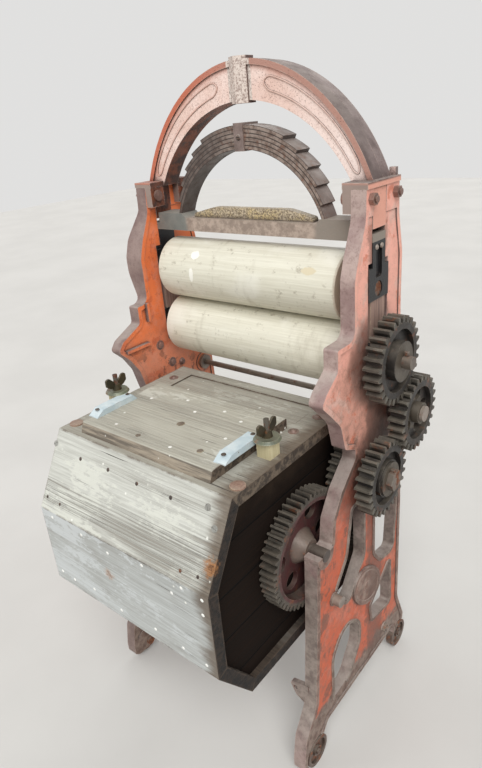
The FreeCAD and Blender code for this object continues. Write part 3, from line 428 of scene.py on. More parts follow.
def wear_and_shade(where, facing, colour, edge_tint, edge_radius, grime_and_shade_tint, grime_and_shade_reach, dust_tint, dust):
    """Adds rubbed edges, corner grime with painted shade, and settled dust over a colour."""
    colour = blend(edge_mask(where, edge_radius, 70), colour, edge_tint)
    # Corner grime and the shade that falls in corners are painted here as one dark colour.
    colour = blend(grime_and_shade_mask(where, grime_and_shade_reach, 35), colour, grime_and_shade_tint)
    return blend(dust_mask(where, facing, dust, 22), colour, dust_tint)


def looks_along(facing, axis, low, high):
    """1 where a face looks along an axis, either way."""
    return span(magnitude(split(facing)[axis]), low, high)


def from_axle(where, node):
    """Distance from the axle of a turning piece, which runs along X through the middle of its box."""
    low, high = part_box(node)
    return measure("DISTANCE", stretch(where, 0, 1, 1), (0, (low.y + high.y) / 2, (low.z + high.z) / 2))


def grain_along(part, order, bands, wander):
    """Wood grain whose length, width and depth lie along three axes of the piece."""
    turned = join(**{to: part[axis] for to, axis in zip("XYZ", order)})
    return use(wood_grain, Vector=turned, Bands=bands, Wander=wander)


def dress(material, *words):
    """Keeps a finish for every node with one of these words in its name."""
    finishes.update({node: material for node in nodes if any(word in node for word in words)})


finishes = {}
print("finish helpers ready")

# %% [markdown]
# ## Painted end frames
# The frames are cast iron under several old coats. Height in the piece's own space, bent by a cloud of noise, leads
# from salmon or orange at the head to a duller coat at the waist and to orange again below. An older coat, chalk and
# dirt show through or lie on it in patches; the dirt grows towards the foot, where it also stands for painted shade.

# %% Old coats
def old_coats(where, height, head_tint, waist_tint, foot_tint, chalk):
    """Colour of the broad faces, and the mask of their chalky places."""
    coat = blend(span(height, 0.92, 1.10), waist_tint, head_tint)
    coat = blend(span(height, 0.80, 0.66), coat, foot_tint)
    older = span(noise(where, 21, 8, 0.7), 0.55, 0.60, 0, 0.6)
    coat = blend(older, coat, (204, 100, 62))
    chalky = times(span(noise(where, 14, 8, 0.72), 0.50, 0.60, 0, chalk), span(height, 0.72, 0.92, 0.25, 1))
    coat = blend(chalky, coat, (216, 188, 176))
    # Dirt in patches, heavier towards the foot; the darkening lower down is also painted shade.
    dirt_and_shade = times(span(noise(where, 46, 7, 0.74), 0.44, 0.64, 0, chalk), span(height, 1.25, 0.75, 0.3, 1))
    return blend(dirt_and_shade, coat, (126, 92, 76)), chalky


print("old coats ready")

# %% [markdown]
# ### Soil, oil and painted shade
# The flange stands three millimetres proud of the web, so a place along X tells the two apart: soil greys the flange,
# every worn edge and the rail near the wet floor, more heavily the lower it lies, and there it is also painted shade.
# Round the gears the paint is brown with oil that was thrown off the teeth and with painted shadow of the gears, and
# beside the slot with oil from the bearings.

# %% Soil, oil and painted shade
head_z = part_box("right_end_frame")[1].z
outer_gears = ("roller_gear", "idler_gear", "drive_gear")


def soil_and_shade_mask(where, part, height, ragged, sideways, flange_x):
    """Grey soil and painted shade on the flange, the worn edges and the lowest rail, heavier lower down."""
    # Greyer and darker lower down on the rail, the flange, the worn edges and the ribs: soil and painted shade.
    low_down = span(plus(part["Z"], times(ragged, 0.16)), 0.185, 0.150, 0, 0.9)
    flange = times(span(part["X"], flange_x, flange_x + 0.001), span(height, 0.9, 0.7, 0, 0.85))
    worn_edges_and_shade = times(edge_mask(where, 0.016, 14), span(height, 0.85, 0.65, 0.2, 1))
    on_face = larger(larger(low_down, flange), worn_edges_and_shade)
    on_rib = times(span(minus(part["Z"], ragged), 0.85, 0.45, 0, 0.75), span(height, 0.06, 0.26, 0.35, 1))
    return lay("ShaderNodeMix", {0: sideways, 2: on_rib, 3: on_face}).outputs[0]


def oil_and_gear_shadow(where, part, cloud, ragged, colour, oil):
    """Adds brown oil and painted gear shadow round the outer gears, and brown oil beside the slot."""
    for gear in outer_gears:
        # The brown ring round each gear is thrown oil and also painted shadow of the gear.
        reach = plus(from_axle(where, gear), times(minus(cloud, 0.5), 0.16))
        colour = blend(span(reach, 0.145, 0.085, 0, oil), colour, (74, 60, 53))
    beside_slot = magnitude(minus(part["Y"], axis_y))
    smear = span(plus(beside_slot, times(ragged, 0.09)), 0.052, 0.034, 0, oil)
    smear = times(smear, span(part["Z"], head_z - 0.04, head_z - 0.10))
    return blend(smear, colour, (96, 70, 60))


print("soil and oil ready; frame head at", round(head_z, 3))

# %% [markdown]
# ### The whole paint
# Faces that look sideways kept their coats, while the narrow flange faces are rubbed to a dusty mauve. The split
# follows the normal, so one material can do both. Flakes, pits and a dark line of grime and painted shade along every
# step finish it.

# %% Frame paint
def frame_paint(name, head_tint, waist_tint, foot_tint, rib_dark, rib_pale, flange_x, oil, chalk):
    """Paint of an end frame; oil and chalk are strengths, and faces beyond flange_x count as flange."""
    shader, where, facing = start_finish(name)
    part = split(where)
    sideways = looks_along(facing, "X", 0.55, 0.86)
    cloud = noise(where, 6, 6, 0.6)
    ragged = minus(noise(where, 17, 8, 0.68), 0.5)
    height = plus(part["Z"], times(minus(cloud, 0.5), 0.6))
    coat, chalky = old_coats(where, height, head_tint, waist_tint, foot_tint, chalk)
    rib = blend(span(noise(where, 11, 6, 0.6), 0.35, 0.65), rib_dark, rib_pale)
    grit = span(noise(where, 120, 8, 0.78), 0.48, 0.66, 0, 0.5)
    paint = blend(sideways, blend(grit, rib, (106, 80, 74)), coat)
    flakes = use(flaking, Vector=where, Scale=12, Amount=0.20)
    rust = use(rust_bloom, Vector=where, Scale=22, Amount=0.4)
    colour = blend(times(flakes["Bare"], 0.75), paint, blend(rust["Mask"], (126, 100, 92), rust["Colour"]))
    skin = use(cast_skin, Vector=where, Scale=260)
    colour = blend(times(skin["Pits"], 0.7), colour, (96, 72, 64))
    # Grey soil tint, laid heavier low down, where it also stands for painted shade.
    soil_and_shade_tint = blend(span(noise(where, 40, 6, 0.7), 0.35, 0.65), (80, 72, 64), (136, 127, 117))
    colour = blend(soil_and_shade_mask(where, part, height, ragged, sideways, flange_x), colour, soil_and_shade_tint)
    brown = times(span(ragged, 0.05, 0.11), span(height, 1.05, 0.85, 0, 0.7))
    colour = blend(times(brown, sideways), colour, (104, 74, 61))
    # Dark line in every corner and step: grime and painted shade.
    colour = blend(times(grime_and_shade_mask(where, 0.009, 50), 0.9), colour, (56, 40, 35))
    # Brown round the outer gears: oil and painted gear shadow; beside the slot: oil.
    colour = oil_and_gear_shadow(where, part, cloud, ragged, colour, oil)
    colour = wear_and_shade(where, facing, colour, (176, 152, 142), 0.0025, (62, 46, 40), 0.02, (168, 158, 150), 0.55)
    relief = plus(skin["Height"], times(flakes["Height"], 0.9))
    return close_finish(shader, colour, span(chalky, 0, chalk, 0.55, 0.8), relief, 0.0008)


gear_flange_x, far_flange_x = spot(330, 0, 0).x, spot(-300, 0, 0).x
finishes["right_end_frame"] = frame_paint("gear_side_paint", (240, 174, 156), (208, 150, 132), (194, 92, 60),
                                          (146, 120, 116), (182, 160, 152), gear_flange_x, 0.6, 0.55)
finishes["left_end_frame"] = frame_paint("far_side_paint", (240, 126, 72), (222, 134, 98), (204, 116, 80),
                                         (114, 91, 87), (146, 125, 118), far_flange_x, 0, 0.15)
print("finish:", finishes["right_end_frame"].name, finishes["left_end_frame"].name)

# %% [markdown]
# ## Painted arch
# The arch face is a pale salmon pink full of dark specks, redder towards its outer rim. The boss at the crown is rubbed
# to a speckled white that is also a painted highlight, the back of the curve is a dusty mauve and the underside is
# rusty. Which face is which can be told from the normal: forward, away from the centre of the curve or towards it.
# How far out a point of the face lies is told by the ellipse of the outer edge, on which the scaled distance from the
# centre is one.

# %% Arch paint
outer_wide, outer_tall = 359.6, 441.6
arch_drop = 0.181
arch_centre = Vector((axis_x, axis_y, head_z - arch_drop))


def arch_face(where, cloud):
    """Colour of the front of the arch, with the masks and the vector that the whole paint needs again."""
    apart = move("SUBTRACT", where, arch_centre)
    part = split(apart)
    share = measure("LENGTH", stretch(apart, 1000 / outer_wide, 0, 1000 / outer_tall))
    share = plus(share, times(minus(cloud, 0.5), 0.06))
    face = blend(span(cloud, 0.35, 0.66), (245, 221, 211), (229, 195, 181))
    face = blend(span(share, 0.935, 0.985, 0, 0.8), face, (206, 134, 112))
    face = blend(span(part["X"], 0.05, 0.30, 0, 0.55), face, (255, 243, 237))
    grains = span(noise(where, 150, 8, 0.78), 0.50, 0.68, 0, 0.6)
    face = blend(grains, face, (128, 92, 84))
    far_half = span(part["X"], 0.06, -0.20)
    lip = span(split(where)["Y"], spot(0, -11.2, 0).y, spot(0, -13.2, 0).y)
    face = blend(lip, face, blend(far_half, (178, 134, 120), (192, 106, 78)))
    # Speckled white band on the boss: rubbed paint and a painted highlight.
    at_boss = span(magnitude(part["X"]), 0.033, 0.031)
    chalk = blend(span(noise(where, 210, 5, 0.72), 0.40, 0.54), (150, 134, 126), (226, 216, 206))
    face = blend(times(at_boss, 0.85), face, chalk)
    at_foot = span(split(where)["Z"], head_z + 0.012, head_z + 0.006)
    face = blend(at_foot, face, blend(cloud, (168, 148, 138), (126, 110, 102)))
    return face, far_half, apart, at_foot


def arch_paint():
    shader, where, facing = start_finish("arch_paint")
    cloud = noise(where, 9, 6, 0.62)
    face, far_half, apart, at_foot = arch_face(where, cloud)
    away = measure("DOT_PRODUCT", apart, facing)
    back = blend(span(cloud, 0.4, 0.6), (116, 99, 96), (84, 69, 66))
    back = blend(times(far_half, 0.6), back, (168, 92, 66))
    under = blend(span(noise(where, 26, 7, 0.7), 0.4, 0.6), (66, 43, 36), (128, 72, 48))
    curve = blend(span(away, -0.06, 0.06), under, back)
    tongue = times(at_foot, looks_along(facing, "X", 0.7, 0.9))
    tongue = times(tongue, span(split(apart)["X"], 0.20, 0.25))
    curve = blend(tongue, curve, (222, 160, 140))
    to_front = times(split(facing)["Y"], -1)
    paint = blend(span(to_front, 0.45, 0.75), curve, face)
    flakes = use(flaking, Vector=where, Scale=16, Amount=0.20)
    colour = blend(times(flakes["Bare"], 0.7), paint, (146, 108, 96))
    skin = use(cast_skin, Vector=where, Scale=230)
    colour = blend(times(skin["Pits"], 0.85), colour, (92, 62, 56))
    colour = wear_and_shade(where, facing, colour, (206, 182, 168), 0.0025, (72, 50, 44), 0.022, (172, 160, 152), 0.45)
    relief = plus(skin["Height"], times(flakes["Height"], 0.8))
    return close_finish(shader, colour, span(cloud, 0.3, 0.7, 0.5, 0.72), relief, 0.001)


finishes["crown_arch"] = arch_paint()
print("finish:", finishes["crown_arch"].name)

# %% [markdown]
# ## Greasy gears
# A gear shows three zones: a ring of teeth rubbed to grey, a web black with old grease, and a hub in the middle. They
# are rings about the gear's own axis, so the finish measures the distance from that axis. The axis and the size come
# from the gear's box in the frame, and one function serves every gear with its own colours.

# %% Gear iron
def gear_iron(name, node, web_tint, tooth_tint, hub_tint, tooth_share, hub_share):
    """Finish of one gear; the shares are the foot of the teeth and the hub as parts of its outer radius."""
    shader, where, facing = start_finish(name)
    low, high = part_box(node)
    reach = (high.z - low.z) / 2
    radius = from_axle(where, node)
    teeth = span(radius, reach * (tooth_share - 0.02), reach * (tooth_share + 0.01))
    hub = span(radius, reach * (hub_share + 0.02), reach * (hub_share - 0.02))
    cloud = noise(where, 30, 6, 0.65)
    web = blend(span(cloud, 0.4, 0.7, 0, 0.7), web_tint, (62, 54, 48))
    ring = blend(span(cloud, 0.35, 0.65), tooth_tint, (66, 62, 56))
    colour = blend(teeth, web, ring)
    colour = blend(hub, colour, blend(cloud, hub_tint, (70, 62, 54)))
    rust = use(rust_bloom, Vector=where, Scale=28, Amount=0.30)
    colour = blend(times(rust["Mask"], 0.7), colour, rust["Colour"])
    colour = wear_and_shade(where, facing, colour, (132, 124, 110), 0.0018, (24, 21, 19), 0.02, (122, 114, 102), 0.5)
    skin = use(cast_skin, Vector=where, Scale=210)
    shader.inputs["Metallic"].default_value = 0.15
    return close_finish(shader, colour, span(cloud, 0.3, 0.7, 0.38, 0.62), skin["Height"], 0.0007)


grease = (38, 35, 33)
tooth_grey = (94, 89, 80)
for gear in outer_gears:
    finishes[gear] = gear_iron(gear + "_iron", gear, grease, tooth_grey, (88, 80, 68), 0.86, 0.44)
finishes["drum_pinion"] = gear_iron("drum_pinion_iron", "drum_pinion", grease, (78, 72, 64), grease, 0.86, 0.3)
finishes["drum_gear"] = gear_iron("drum_gear_iron", "drum_gear", (84, 48, 48), (86, 78, 70),
                                  (128, 108, 98), 0.88, 0.3)
print("gear finishes:", [name for name in finishes if "gear" in name])

# %% [markdown]
# ## Scrubbed rollers
# The rollers are pale hardwood, washed white by years of wet linen. Grain is faint, smudges run round them more than
# along them, and the ends show rings. Object coordinates already run along the roller in X, so no turning is needed.
# A few places lost their skin and shine white: each chip is a place, so its mask is a distance, flattened to a patch.

# %% Roller wood
def roller_wood(name, node, chips):
    """Finish of a roller; a chip is a place, two half sizes and a colour."""
    shader, where, facing = start_finish(name)
    grain = use(wood_grain, Vector=where, Bands=90, Wander=0.03)
    wood = blend(span(grain["Tone"], 0.25, 0.75), (206, 202, 184), (224, 221, 205))
    wood = blend(span(grain["Lines"], 0.45, 0.95, 0, 0.16), wood, (176, 168, 146))
    smudge = span(noise(stretch(where, 16, 5, 5), 1, 6, 0.62), 0.52, 0.74, 0, 0.5)
    wood = blend(smudge, wood, (160, 152, 131))
    scuff = span(noise(stretch(where, 40, 40, 40), 1, 7, 0.78), 0.555, 0.68, 0, 0.7)
    wood = blend(scuff, wood, (150, 140, 120))
    bleached = span(noise(where, 8, 4, 0.5), 0.52, 0.68, 0, 0.6)
    wood = blend(bleached, wood, (232, 230, 218))
    ragged = times(noise(where, 90, 5, 0.7), 0.9)
    for place, half_x, half_z, chip_tint in chips:
        apart = move("SUBTRACT", where, place)
        reach = measure("LENGTH", stretch(apart, 1 / half_x, 1 / half_z, 1 / half_z))
        wood = blend(span(plus(reach, ragged), 1.5, 1.3), wood, chip_tint)
    ripple = calc("SINE", times(from_axle(where, node), 1900))
    rings = blend(span(ripple, -1, 1), (206, 199, 180), (164, 154, 133))
    colour = blend(looks_along(facing, "X", 0.6, 0.9), wood, rings)
    colour = blend(times(edge_mask(where, 0.004, 50), 0.5), colour, (160, 148, 124))
    relief = plus(grain["Tone"], times(grain["Lines"], 0.3))
    return close_finish(shader, colour, span(smudge, 0, 0.5, 0.5, 0.68), relief, 0.0003)


white_chip, straw_chip = (240, 238, 228), (210, 199, 170)
upper_chips = [(spot(-143, -61, 1229), 0.014, 0.012, white_chip), (spot(-148, -79, 1182), 0.007, 0.019, white_chip),
               (spot(199, -67, 1219), 0.020, 0.009, straw_chip)]
finishes["upper_roller"] = roller_wood("upper_roller_wood", "upper_roller", upper_chips)
finishes["lower_roller"] = roller_wood("lower_roller_wood", "lower_roller", [])
print("roller finishes ready")

# %% [markdown]
# ## Weathered box boards
# The box is softwood that stood in the wet. Brown damp creeps in from the gear end, the end grain is nearly black, and
# the side faces of the flat boards are streaked and darkened with painted shade. Splashes of whitewash are small
# flecks, which a few chosen Voronoi cells give.

# %% Board ends and flecks
def damp_ends(where, facing, part, grain, colour, damp, flat):
    """Adds brown damp and dark end grain, and streaked side faces darkened as painted shade where a board lies flat."""
    from_end = minus(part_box("box_top")[1].x, part["X"])
    creep = times(noise(stretch(where, 5, 22, 22), 1, 6, 0.65), 0.10)
    brown_end = span(plus(from_end, creep), 0.098, 0.058, 0, damp)
    colour = blend(brown_end, colour, blend(grain["Tone"], (66, 54, 44), (124, 108, 90)))
    end_grain = looks_along(facing, "X", 0.6, 0.9)
    pores = span(noise(where, 60, 7, 0.7), 0.4, 0.6)
    colour = blend(end_grain, colour, blend(pores, (20, 16, 14), (46, 36, 29)))
    if flat:
        # Side faces of a flat board are streaked grain, darkened as painted shade.
        shaded_side_face = span(split(facing)["Z"], 0.7, 0.3, 0, 0.85)
        streaks = span(noise(stretch(where, 9, 130, 130), 1, 7, 0.72), 0.36, 0.62)
        side = blend(streaks, (78, 66, 55), (156, 142, 124))
        side = blend(end_grain, side, blend(pores, (60, 50, 41), (112, 98, 83)))
        colour = blend(shaded_side_face, colour, side)
    return colour


def whitewash(where, colour):
    """Adds small white flecks."""
    cells = lay("ShaderNodeTexVoronoi", {"Vector": where, "Scale": 34})
    chosen = span(split(cells.outputs["Color"])["X"], 0.80, 0.84)
    return blend(times(span(cells.outputs["Distance"], 0.13, 0.07), chosen), colour, (228, 228, 220))


print("board ends and flecks ready")

# %% [markdown]
# ### One function for all boards
# The front has lost the soft wood between the hard lines of the grain, so the lines stand proud, and rags of an old
# pale coat cling to it. Top and lid are greyer and smoother. The function is told which way the width of the board
# runs, and how much coat and relief is left.

# %% Box wood
def box_wood(name, across, pale, dark, coat_tint, coat, line_strength, bands, calm=None, damp=0.85):
    """Board finish with the grain along X; calm is a pair of heights from ridged to smooth wood."""
    shader, where, facing = start_finish(name)
    part = split(where)
    grain = grain_along(part, ("X", across, "Y"), bands, 0.014)
    wood = blend(span(grain["Tone"], 0.28, 0.72), dark, pale)
    groove = span(grain["Lines"], 0.25, 0.85, 0, line_strength)
    if calm is not None:
        groove = times(groove, span(part["Z"], calm[1], calm[0], 0.15, 1))
    wood = blend(groove, wood, (132, 126, 116))
    blotch = span(noise(stretch(where, 3, 6, 6), 1, 5, 0.6), 0.5, 0.75, 0, 0.5)
    wood = blend(blotch, wood, (140, 136, 128))
    rags = use(flaking, Vector=stretch(where, 0.45, 1, 1), Scale=9, Amount=coat)
    worn_off = times(rags["Bare"], span(grain["Lines"], 0.75, 0.2, 0.25, 1))
    colour = blend(times(worn_off, 0.85), wood, coat_tint)
    colour = damp_ends(where, facing, part, grain, colour, damp, across == "Y")
    colour = blend(times(edge_mask(where, 0.007, 26), 0.8), colour, (92, 76, 62))
    # Dark in corners and seams: grime and painted shade.
    colour = blend(grime_and_shade_mask(where, 0.03, 20), colour, (70, 58, 48))
    cracks = span(noise(stretch(where, 4, 260, 260), 1, 3, 0.5), 0.70, 0.74)
    colour = whitewash(where, blend(cracks, colour, (58, 50, 44)))
    relief = minus(minus(grain["Tone"], times(groove, 1.6)), times(cracks, 1.2))
    return close_finish(shader, colour, span(grain["Tone"], 0.3, 0.7, 0.72, 0.88), relief, 0.0012)


pale_coat = (207, 208, 198)
front_upper = box_wood("front_upper_wood", "Z", (206, 207, 199), (174, 174, 166), pale_coat, 0.5, 0.75, 150,
                       (0.82, 0.88))
front_middle = box_wood("front_middle_wood", "Z", (192, 196, 194), (166, 168, 165), (200, 204, 204), 0.5,
                        0.6, 140, (0.69, 0.62))
box_rear = box_wood("box_rear_wood", "Z", (166, 162, 150), (124, 116, 104), pale_coat, 0.4, 0.7, 120)
box_under = box_wood("box_under_wood", "Z", (76, 64, 53), (46, 37, 30), (92, 82, 72), 0.3, 0.5, 120, damp=0)
box_flat = box_wood("box_flat_wood", "Y", (172, 169, 157), (142, 137, 125), (178, 176, 165), 0.45, 0.35, 110)
lid_flat = box_wood("lid_wood", "Y", (188, 186, 173), (160, 156, 143), (196, 195, 184), 0.45, 0.35, 100)
dress(front_upper, "box_front_upper")
dress(front_middle, "box_front_middle")
dress(box_rear, "box_rear_middle", "box_rear_upper")
dress(box_under, "box_front_lower", "box_bottom", "box_rear_lower")
dress(box_flat, "box_top")
finishes["lid"] = lid_flat
print("board finishes:", len([name for name in finishes if "box" in name]))

# %% [markdown]
# ### Rust stains on the front
# Two nails bled orange into the front boards. A stain is a place, so its mask is the distance from that place, bent
# by noise. It is laid over the colour that the board already has, by taking the link into Base Color and mixing it.

# %% Rust stains
def add_stain(material, place, size, strength):
    """Lays a rust stain of a size in metres over a finished material."""
    desk["tree"] = material.node_tree
    colour = material.node_tree.nodes["Principled BSDF"].inputs["Base Color"]
    where = lay("ShaderNodeTexCoord").outputs["Object"]
    distance = plus(measure("DISTANCE", where, place), times(minus(noise(where, 90, 8, 0.75), 0.5), size * 3))
    bleed = span(distance, size, size * 0.25, 0, strength)
    core = span(distance, size * 0.30, size * 0.05, 0, strength)
    stained = blend(bleed, colour.links[0].from_socket, (166, 112, 62))
    feed(colour, blend(core, stained, (82, 52, 32)))


add_stain(front_upper, spot(258, -527, 769), 0.024, 0.85)
add_stain(front_middle, spot(-42, -554, 625), 0.020, 0.45)
print("stained boards:", front_upper.name, front_middle.name)

# %% [markdown]
# ## Dark end panels
# The ends of the box were never painted. They are boards set level, almost black with damp, and painted paler towards
# the top, as light from above would leave them. The joints between the boards are dark lines at an even step in
# height: a saw-tooth of the height makes them, and each board gets its own tone from a noise that only sees the
# board's number.

# %% Panel wood
def panel_wood(board_height):
    shader, where, facing = start_finish("panel_wood")
    part = split(where)
    grain = grain_along(part, "YZX", 80, 0.014)
    wood = blend(span(grain["Tone"], 0.3, 0.7), (9, 6, 4), (27, 18, 13))
    wood = blend(span(grain["Lines"], 0.4, 0.9, 0, 0.4), wood, (18, 12, 10))
    rows = calc("DIVIDE", part["Z"], board_height)
    number = join(X=calc("FLOOR", rows))
    own_tone = span(noise(number, 3.7, 0), 0.3, 0.7, 0, 0.25)
    wood = blend(own_tone, wood, (38, 26, 19))
    in_row = calc("FRACT", rows)
    joint = span(magnitude(minus(in_row, 0.5)), 0.470, 0.492)
    painted_top_light = plus(part["Z"], times(noise(where, 8), 0.16))
    # Paler towards the top: painted light from above.
    wood = blend(span(painted_top_light, 0.88, 1.02, 0, 0.5), wood, (92, 76, 62))
    colour = blend(joint, wood, (9, 7, 6))
    colour = blend(dust_mask(where, facing, 0.6, 20), colour, (110, 100, 88))
    relief = minus(grain["Tone"], times(joint, 2))
    shader.inputs["Specular IOR Level"].default_value = 0.12
    return close_finish(shader, colour, span(grain["Tone"], 0.3, 0.7, 0.8, 0.95), relief, 0.001)


panel_board = 0.112
dress(panel_wood(panel_board), "_end_panel")
print("finish:", finishes["left_end_panel"].name)

# %% [markdown]
# ## Plain ironwork
# Shafts, stays, bolts and trunnions are bare iron that rusted, was wiped and rusted again. One function with two
# colours, a rust amount and a share of metal gives the whole family, from dark bearing blocks to brown wheels.

# %% Plain ironwork
def bare_iron(name, base_tint, second_tint, rust_amount, edge_tint, dust, metal):
    """Iron in two clouded colours, with amounts of rust and dust and a share of metal."""
    shader, where, facing = start_finish(name)
    cloud = noise(where, 26, 6, 0.62)
    colour = blend(span(cloud, 0.35, 0.65), base_tint, second_tint)
    rust = use(rust_bloom, Vector=where, Scale=24, Amount=rust_amount)
    colour = blend(rust["Mask"], colour, rust["Colour"])
    colour = wear_and_shade(where, facing, colour, edge_tint, 0.002, (32, 26, 23), 0.018, (146, 136, 124), dust)
    skin = use(cast_skin, Vector=where, Scale=220)
    relief = plus(skin["Height"], times(rust["Mask"], 0.4))
    shader.inputs["Metallic"].default_value = metal
    return close_finish(shader, colour, span(rust["Mask"], 0, 1, 0.42, 0.8), relief, 0.0006)


shaft_iron = bare_iron("shaft_iron", (118, 108, 98), (92, 82, 74), 0.45, (158, 150, 140), 0.5, 0.35)
stay_iron = bare_iron("stay_iron", (144, 132, 122), (116, 103, 94), 0.3, (168, 158, 148), 0.7, 0.1)
bolt_iron = bare_iron("bolt_iron", (146, 112, 101), (108, 82, 74), 0.35, (150, 136, 126), 0.4, 0.15)
bearing_iron = bare_iron("bearing_iron", (24, 24, 28), (16, 16, 18), 0.12, (84, 82, 82), 0.15, 0.1)
wheel_rust = bare_iron("wheel_rust", (104, 88, 78), (78, 62, 54), 0.5, (142, 126, 114), 0.5, 0.1)
washer_green = bare_iron("washer_green", (112, 118, 96), (84, 90, 76), 0.25, (160, 160, 138), 0.4, 0.2)
nut_bronze = bare_iron("nut_bronze", (76, 66, 46), (54, 50, 38), 0.2, (140, 124, 86), 0.3, 0.5)
hub_iron = bare_iron("hub_iron", (82, 70, 63), (58, 48, 43), 0.35, (118, 104, 95), 0.3, 0.15)
dress(shaft_iron, "roller_shaft", "drive_shaft")
dress(hub_iron, "_trunnion")
dress(stay_iron, "stay_rod", "lower_stay", "stop_peg")
dress(bolt_iron, "arch_bolt")
dress(bearing_iron, "_bearing")
dress(wheel_rust, "_wheel")
dress(washer_green, "_washer")
dress(nut_bronze, "wing_nut")
print("iron finishes:", len([m for m in finishes.values() if "iron" in m.name]))

# %% [markdown]
# ## Leaf spring
# Each leaf is a strip of spring steel, grey on its broad side and brown along its edges, where rust creeps in between
# the leaves. Leaves are told apart by the distance from the centre of the bend: a dark line at every joint helps the
# eye to count them. Centre and step come from the boxes of the innermost and the outermost leaf.

# %% Spring steel
def spring_steel():
    shader, where, facing = start_finish("spring_steel")
    inner_leaf, outer_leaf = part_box("spring_leaf_1")[1].z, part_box("spring_leaf_6")[1].z
    step = abs(outer_leaf - inner_leaf) / 5
    bend_radius = 0.221
    centre_z = min(inner_leaf, outer_leaf) - step - bend_radius
    radius = measure("DISTANCE", stretch(where, 1, 0, 1), (axis_x, 0, centre_z))
    in_leaf = calc("FRACT", calc("DIVIDE", minus(radius, bend_radius), step))
    joint = span(magnitude(minus(in_leaf, 0.5)), 0.30, 0.46)
    cloud = noise(where, 20, 6, 0.62)
    broad = blend(span(cloud, 0.35, 0.65), (146, 134, 128), (118, 106, 100))
    narrow = blend(span(noise(where, 60, 6, 0.7), 0.4, 0.62), (150, 134, 124), (104, 86, 76))
    narrow = blend(joint, narrow, (44, 35, 31))
    colour = blend(looks_along(facing, "Y", 0.6, 0.9), broad, narrow)
    rust = use(rust_bloom, Vector=where, Scale=40, Amount=0.34)
    colour = blend(times(rust["Mask"], 0.6), colour, rust["Colour"])
    # Faces that look down and the far half of the spring are darkened: painted shade of the arch and of the underside.
    under = span(split(facing)["Z"], -0.1, -0.6, 0, 0.75)
    far_half = span(split(where)["X"], axis_x + 0.02, axis_x - 0.12, 0, 0.65)
    colour = blend(larger(under, far_half), colour, (52, 43, 40))
    colour = blend(dust_mask(where, facing, 0.5, 26), colour, (156, 146, 138))
    skin = use(cast_skin, Vector=where, Scale=240)
    shader.inputs["Metallic"].default_value = 0.1
    return close_finish(shader, colour, span(cloud, 0.3, 0.7, 0.45, 0.7), skin["Height"], 0.0006)


leaf_steel = spring_steel()
dress(leaf_steel, "spring_leaf")
finishes["spring_buckle"] = bare_iron("buckle_iron", (134, 116, 110), (104, 88, 82), 0.3, (158, 142, 134), 0.4, 0.05)
print("finish:", leaf_steel.name)

# %% [markdown]
# ## Pressure beam
# The beam is a forged bar: its far end is grey-green, its middle and its near end are brown, and the rib on
# top is speckled with rust and old yellow paint. All three are places along the beam, so the object's own X and Z
# choose between them.

# %% Beam iron
def beam_iron():
    shader, where, facing = start_finish("beam_iron")
    beam_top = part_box("pressure_beam")[1].z
    part = split(where)
    along = magnitude(minus(part["X"], axis_x))
    cloud = noise(where, 16, 6, 0.6)
    ends = blend(span(cloud, 0.35, 0.65), (104, 108, 104), (126, 126, 120))
    ends = blend(span(part["X"], axis_x, axis_x + 0.1, 0, 0.75), ends, (144, 131, 119))
    middle = blend(span(noise(where, 48, 6, 0.7), 0.38, 0.62), (178, 160, 146), (142, 126, 114))
    colour = blend(span(along, 0.20, 0.185), ends, middle)
    speck = span(noise(where, 210, 4, 0.75), 0.42, 0.56)
    spots = blend(span(noise(where, 34, 4, 0.6), 0.4, 0.65), (200, 184, 158), (212, 190, 142))
    rib = blend(speck, (126, 111, 92), spots)
    on_rib = times(span(part["Z"], beam_top - 0.0265, beam_top - 0.0225), span(along, 0.186, 0.180))
    colour = blend(on_rib, colour, rib)
    colour = wear_and_shade(where, facing, colour, (150, 140, 128), 0.002, (48, 40, 36), 0.02, (158, 148, 136), 0.45)
    skin = use(cast_skin, Vector=where, Scale=160)
    relief = plus(skin["Height"], times(times(speck, on_rib), 0.8))
    return close_finish(shader, colour, span(cloud, 0.3, 0.7, 0.5, 0.75), relief, 0.0008)


finishes["pressure_beam"] = beam_iron()
print("finish:", finishes["pressure_beam"].name)

# %% [markdown]
# ## Packings and clamp posts
# Blocks of plain beech pack the bearings apart, and two more carry the clamp studs. A post is a block with a steel
# stud in one node, so its finish changes from wood to steel at the top of the block. Fine rings bump the stud where
# its thread is, with painted shade in their grooves, which is lighter than modelling a helix that nobody can see at
# arm's length.

# %% Packing and post wood
def block_wood(name, base_tint, dark_tint, stud_from=None):
    """Plain wood with the grain upright, turned to steel above the height stud_from, where one is given."""
    shader, where, facing = start_finish(name)
    part = split(where)
    grain = grain_along(part, "ZYX", 180, 0.006)
    wood = blend(span(grain["Tone"], 0.3, 0.7), dark_tint, base_tint)
    wood = blend(span(grain["Lines"], 0.4, 0.9, 0, 0.4), wood, dark_tint)
    colour = wear_and_shade(where, facing, wood, (206, 192, 158), 0.002, (72, 58, 44), 0.02, (170, 162, 146), 0.35)
    relief = grain["Tone"]
    if stud_from is not None:
        thread = calc("SINE", times(part["Z"], 3600))
        steel = span(part["Z"], stud_from - 0.0005, stud_from + 0.0005)
        rust = use(rust_bloom, Vector=where, Scale=60, Amount=0.5)
        metal = blend(rust["Mask"], (110, 104, 92), rust["Colour"])
        # Dark troughs of the thread: painted shade.
        metal = blend(span(thread, 0.2, -0.9, 0, 0.7), metal, (44, 38, 32))
        colour = blend(steel, colour, metal)
        relief = plus(relief, times(times(thread, steel), 0.8))
    return close_finish(shader, colour, span(grain["Tone"], 0.3, 0.7, 0.6, 0.78), relief, 0.0006)


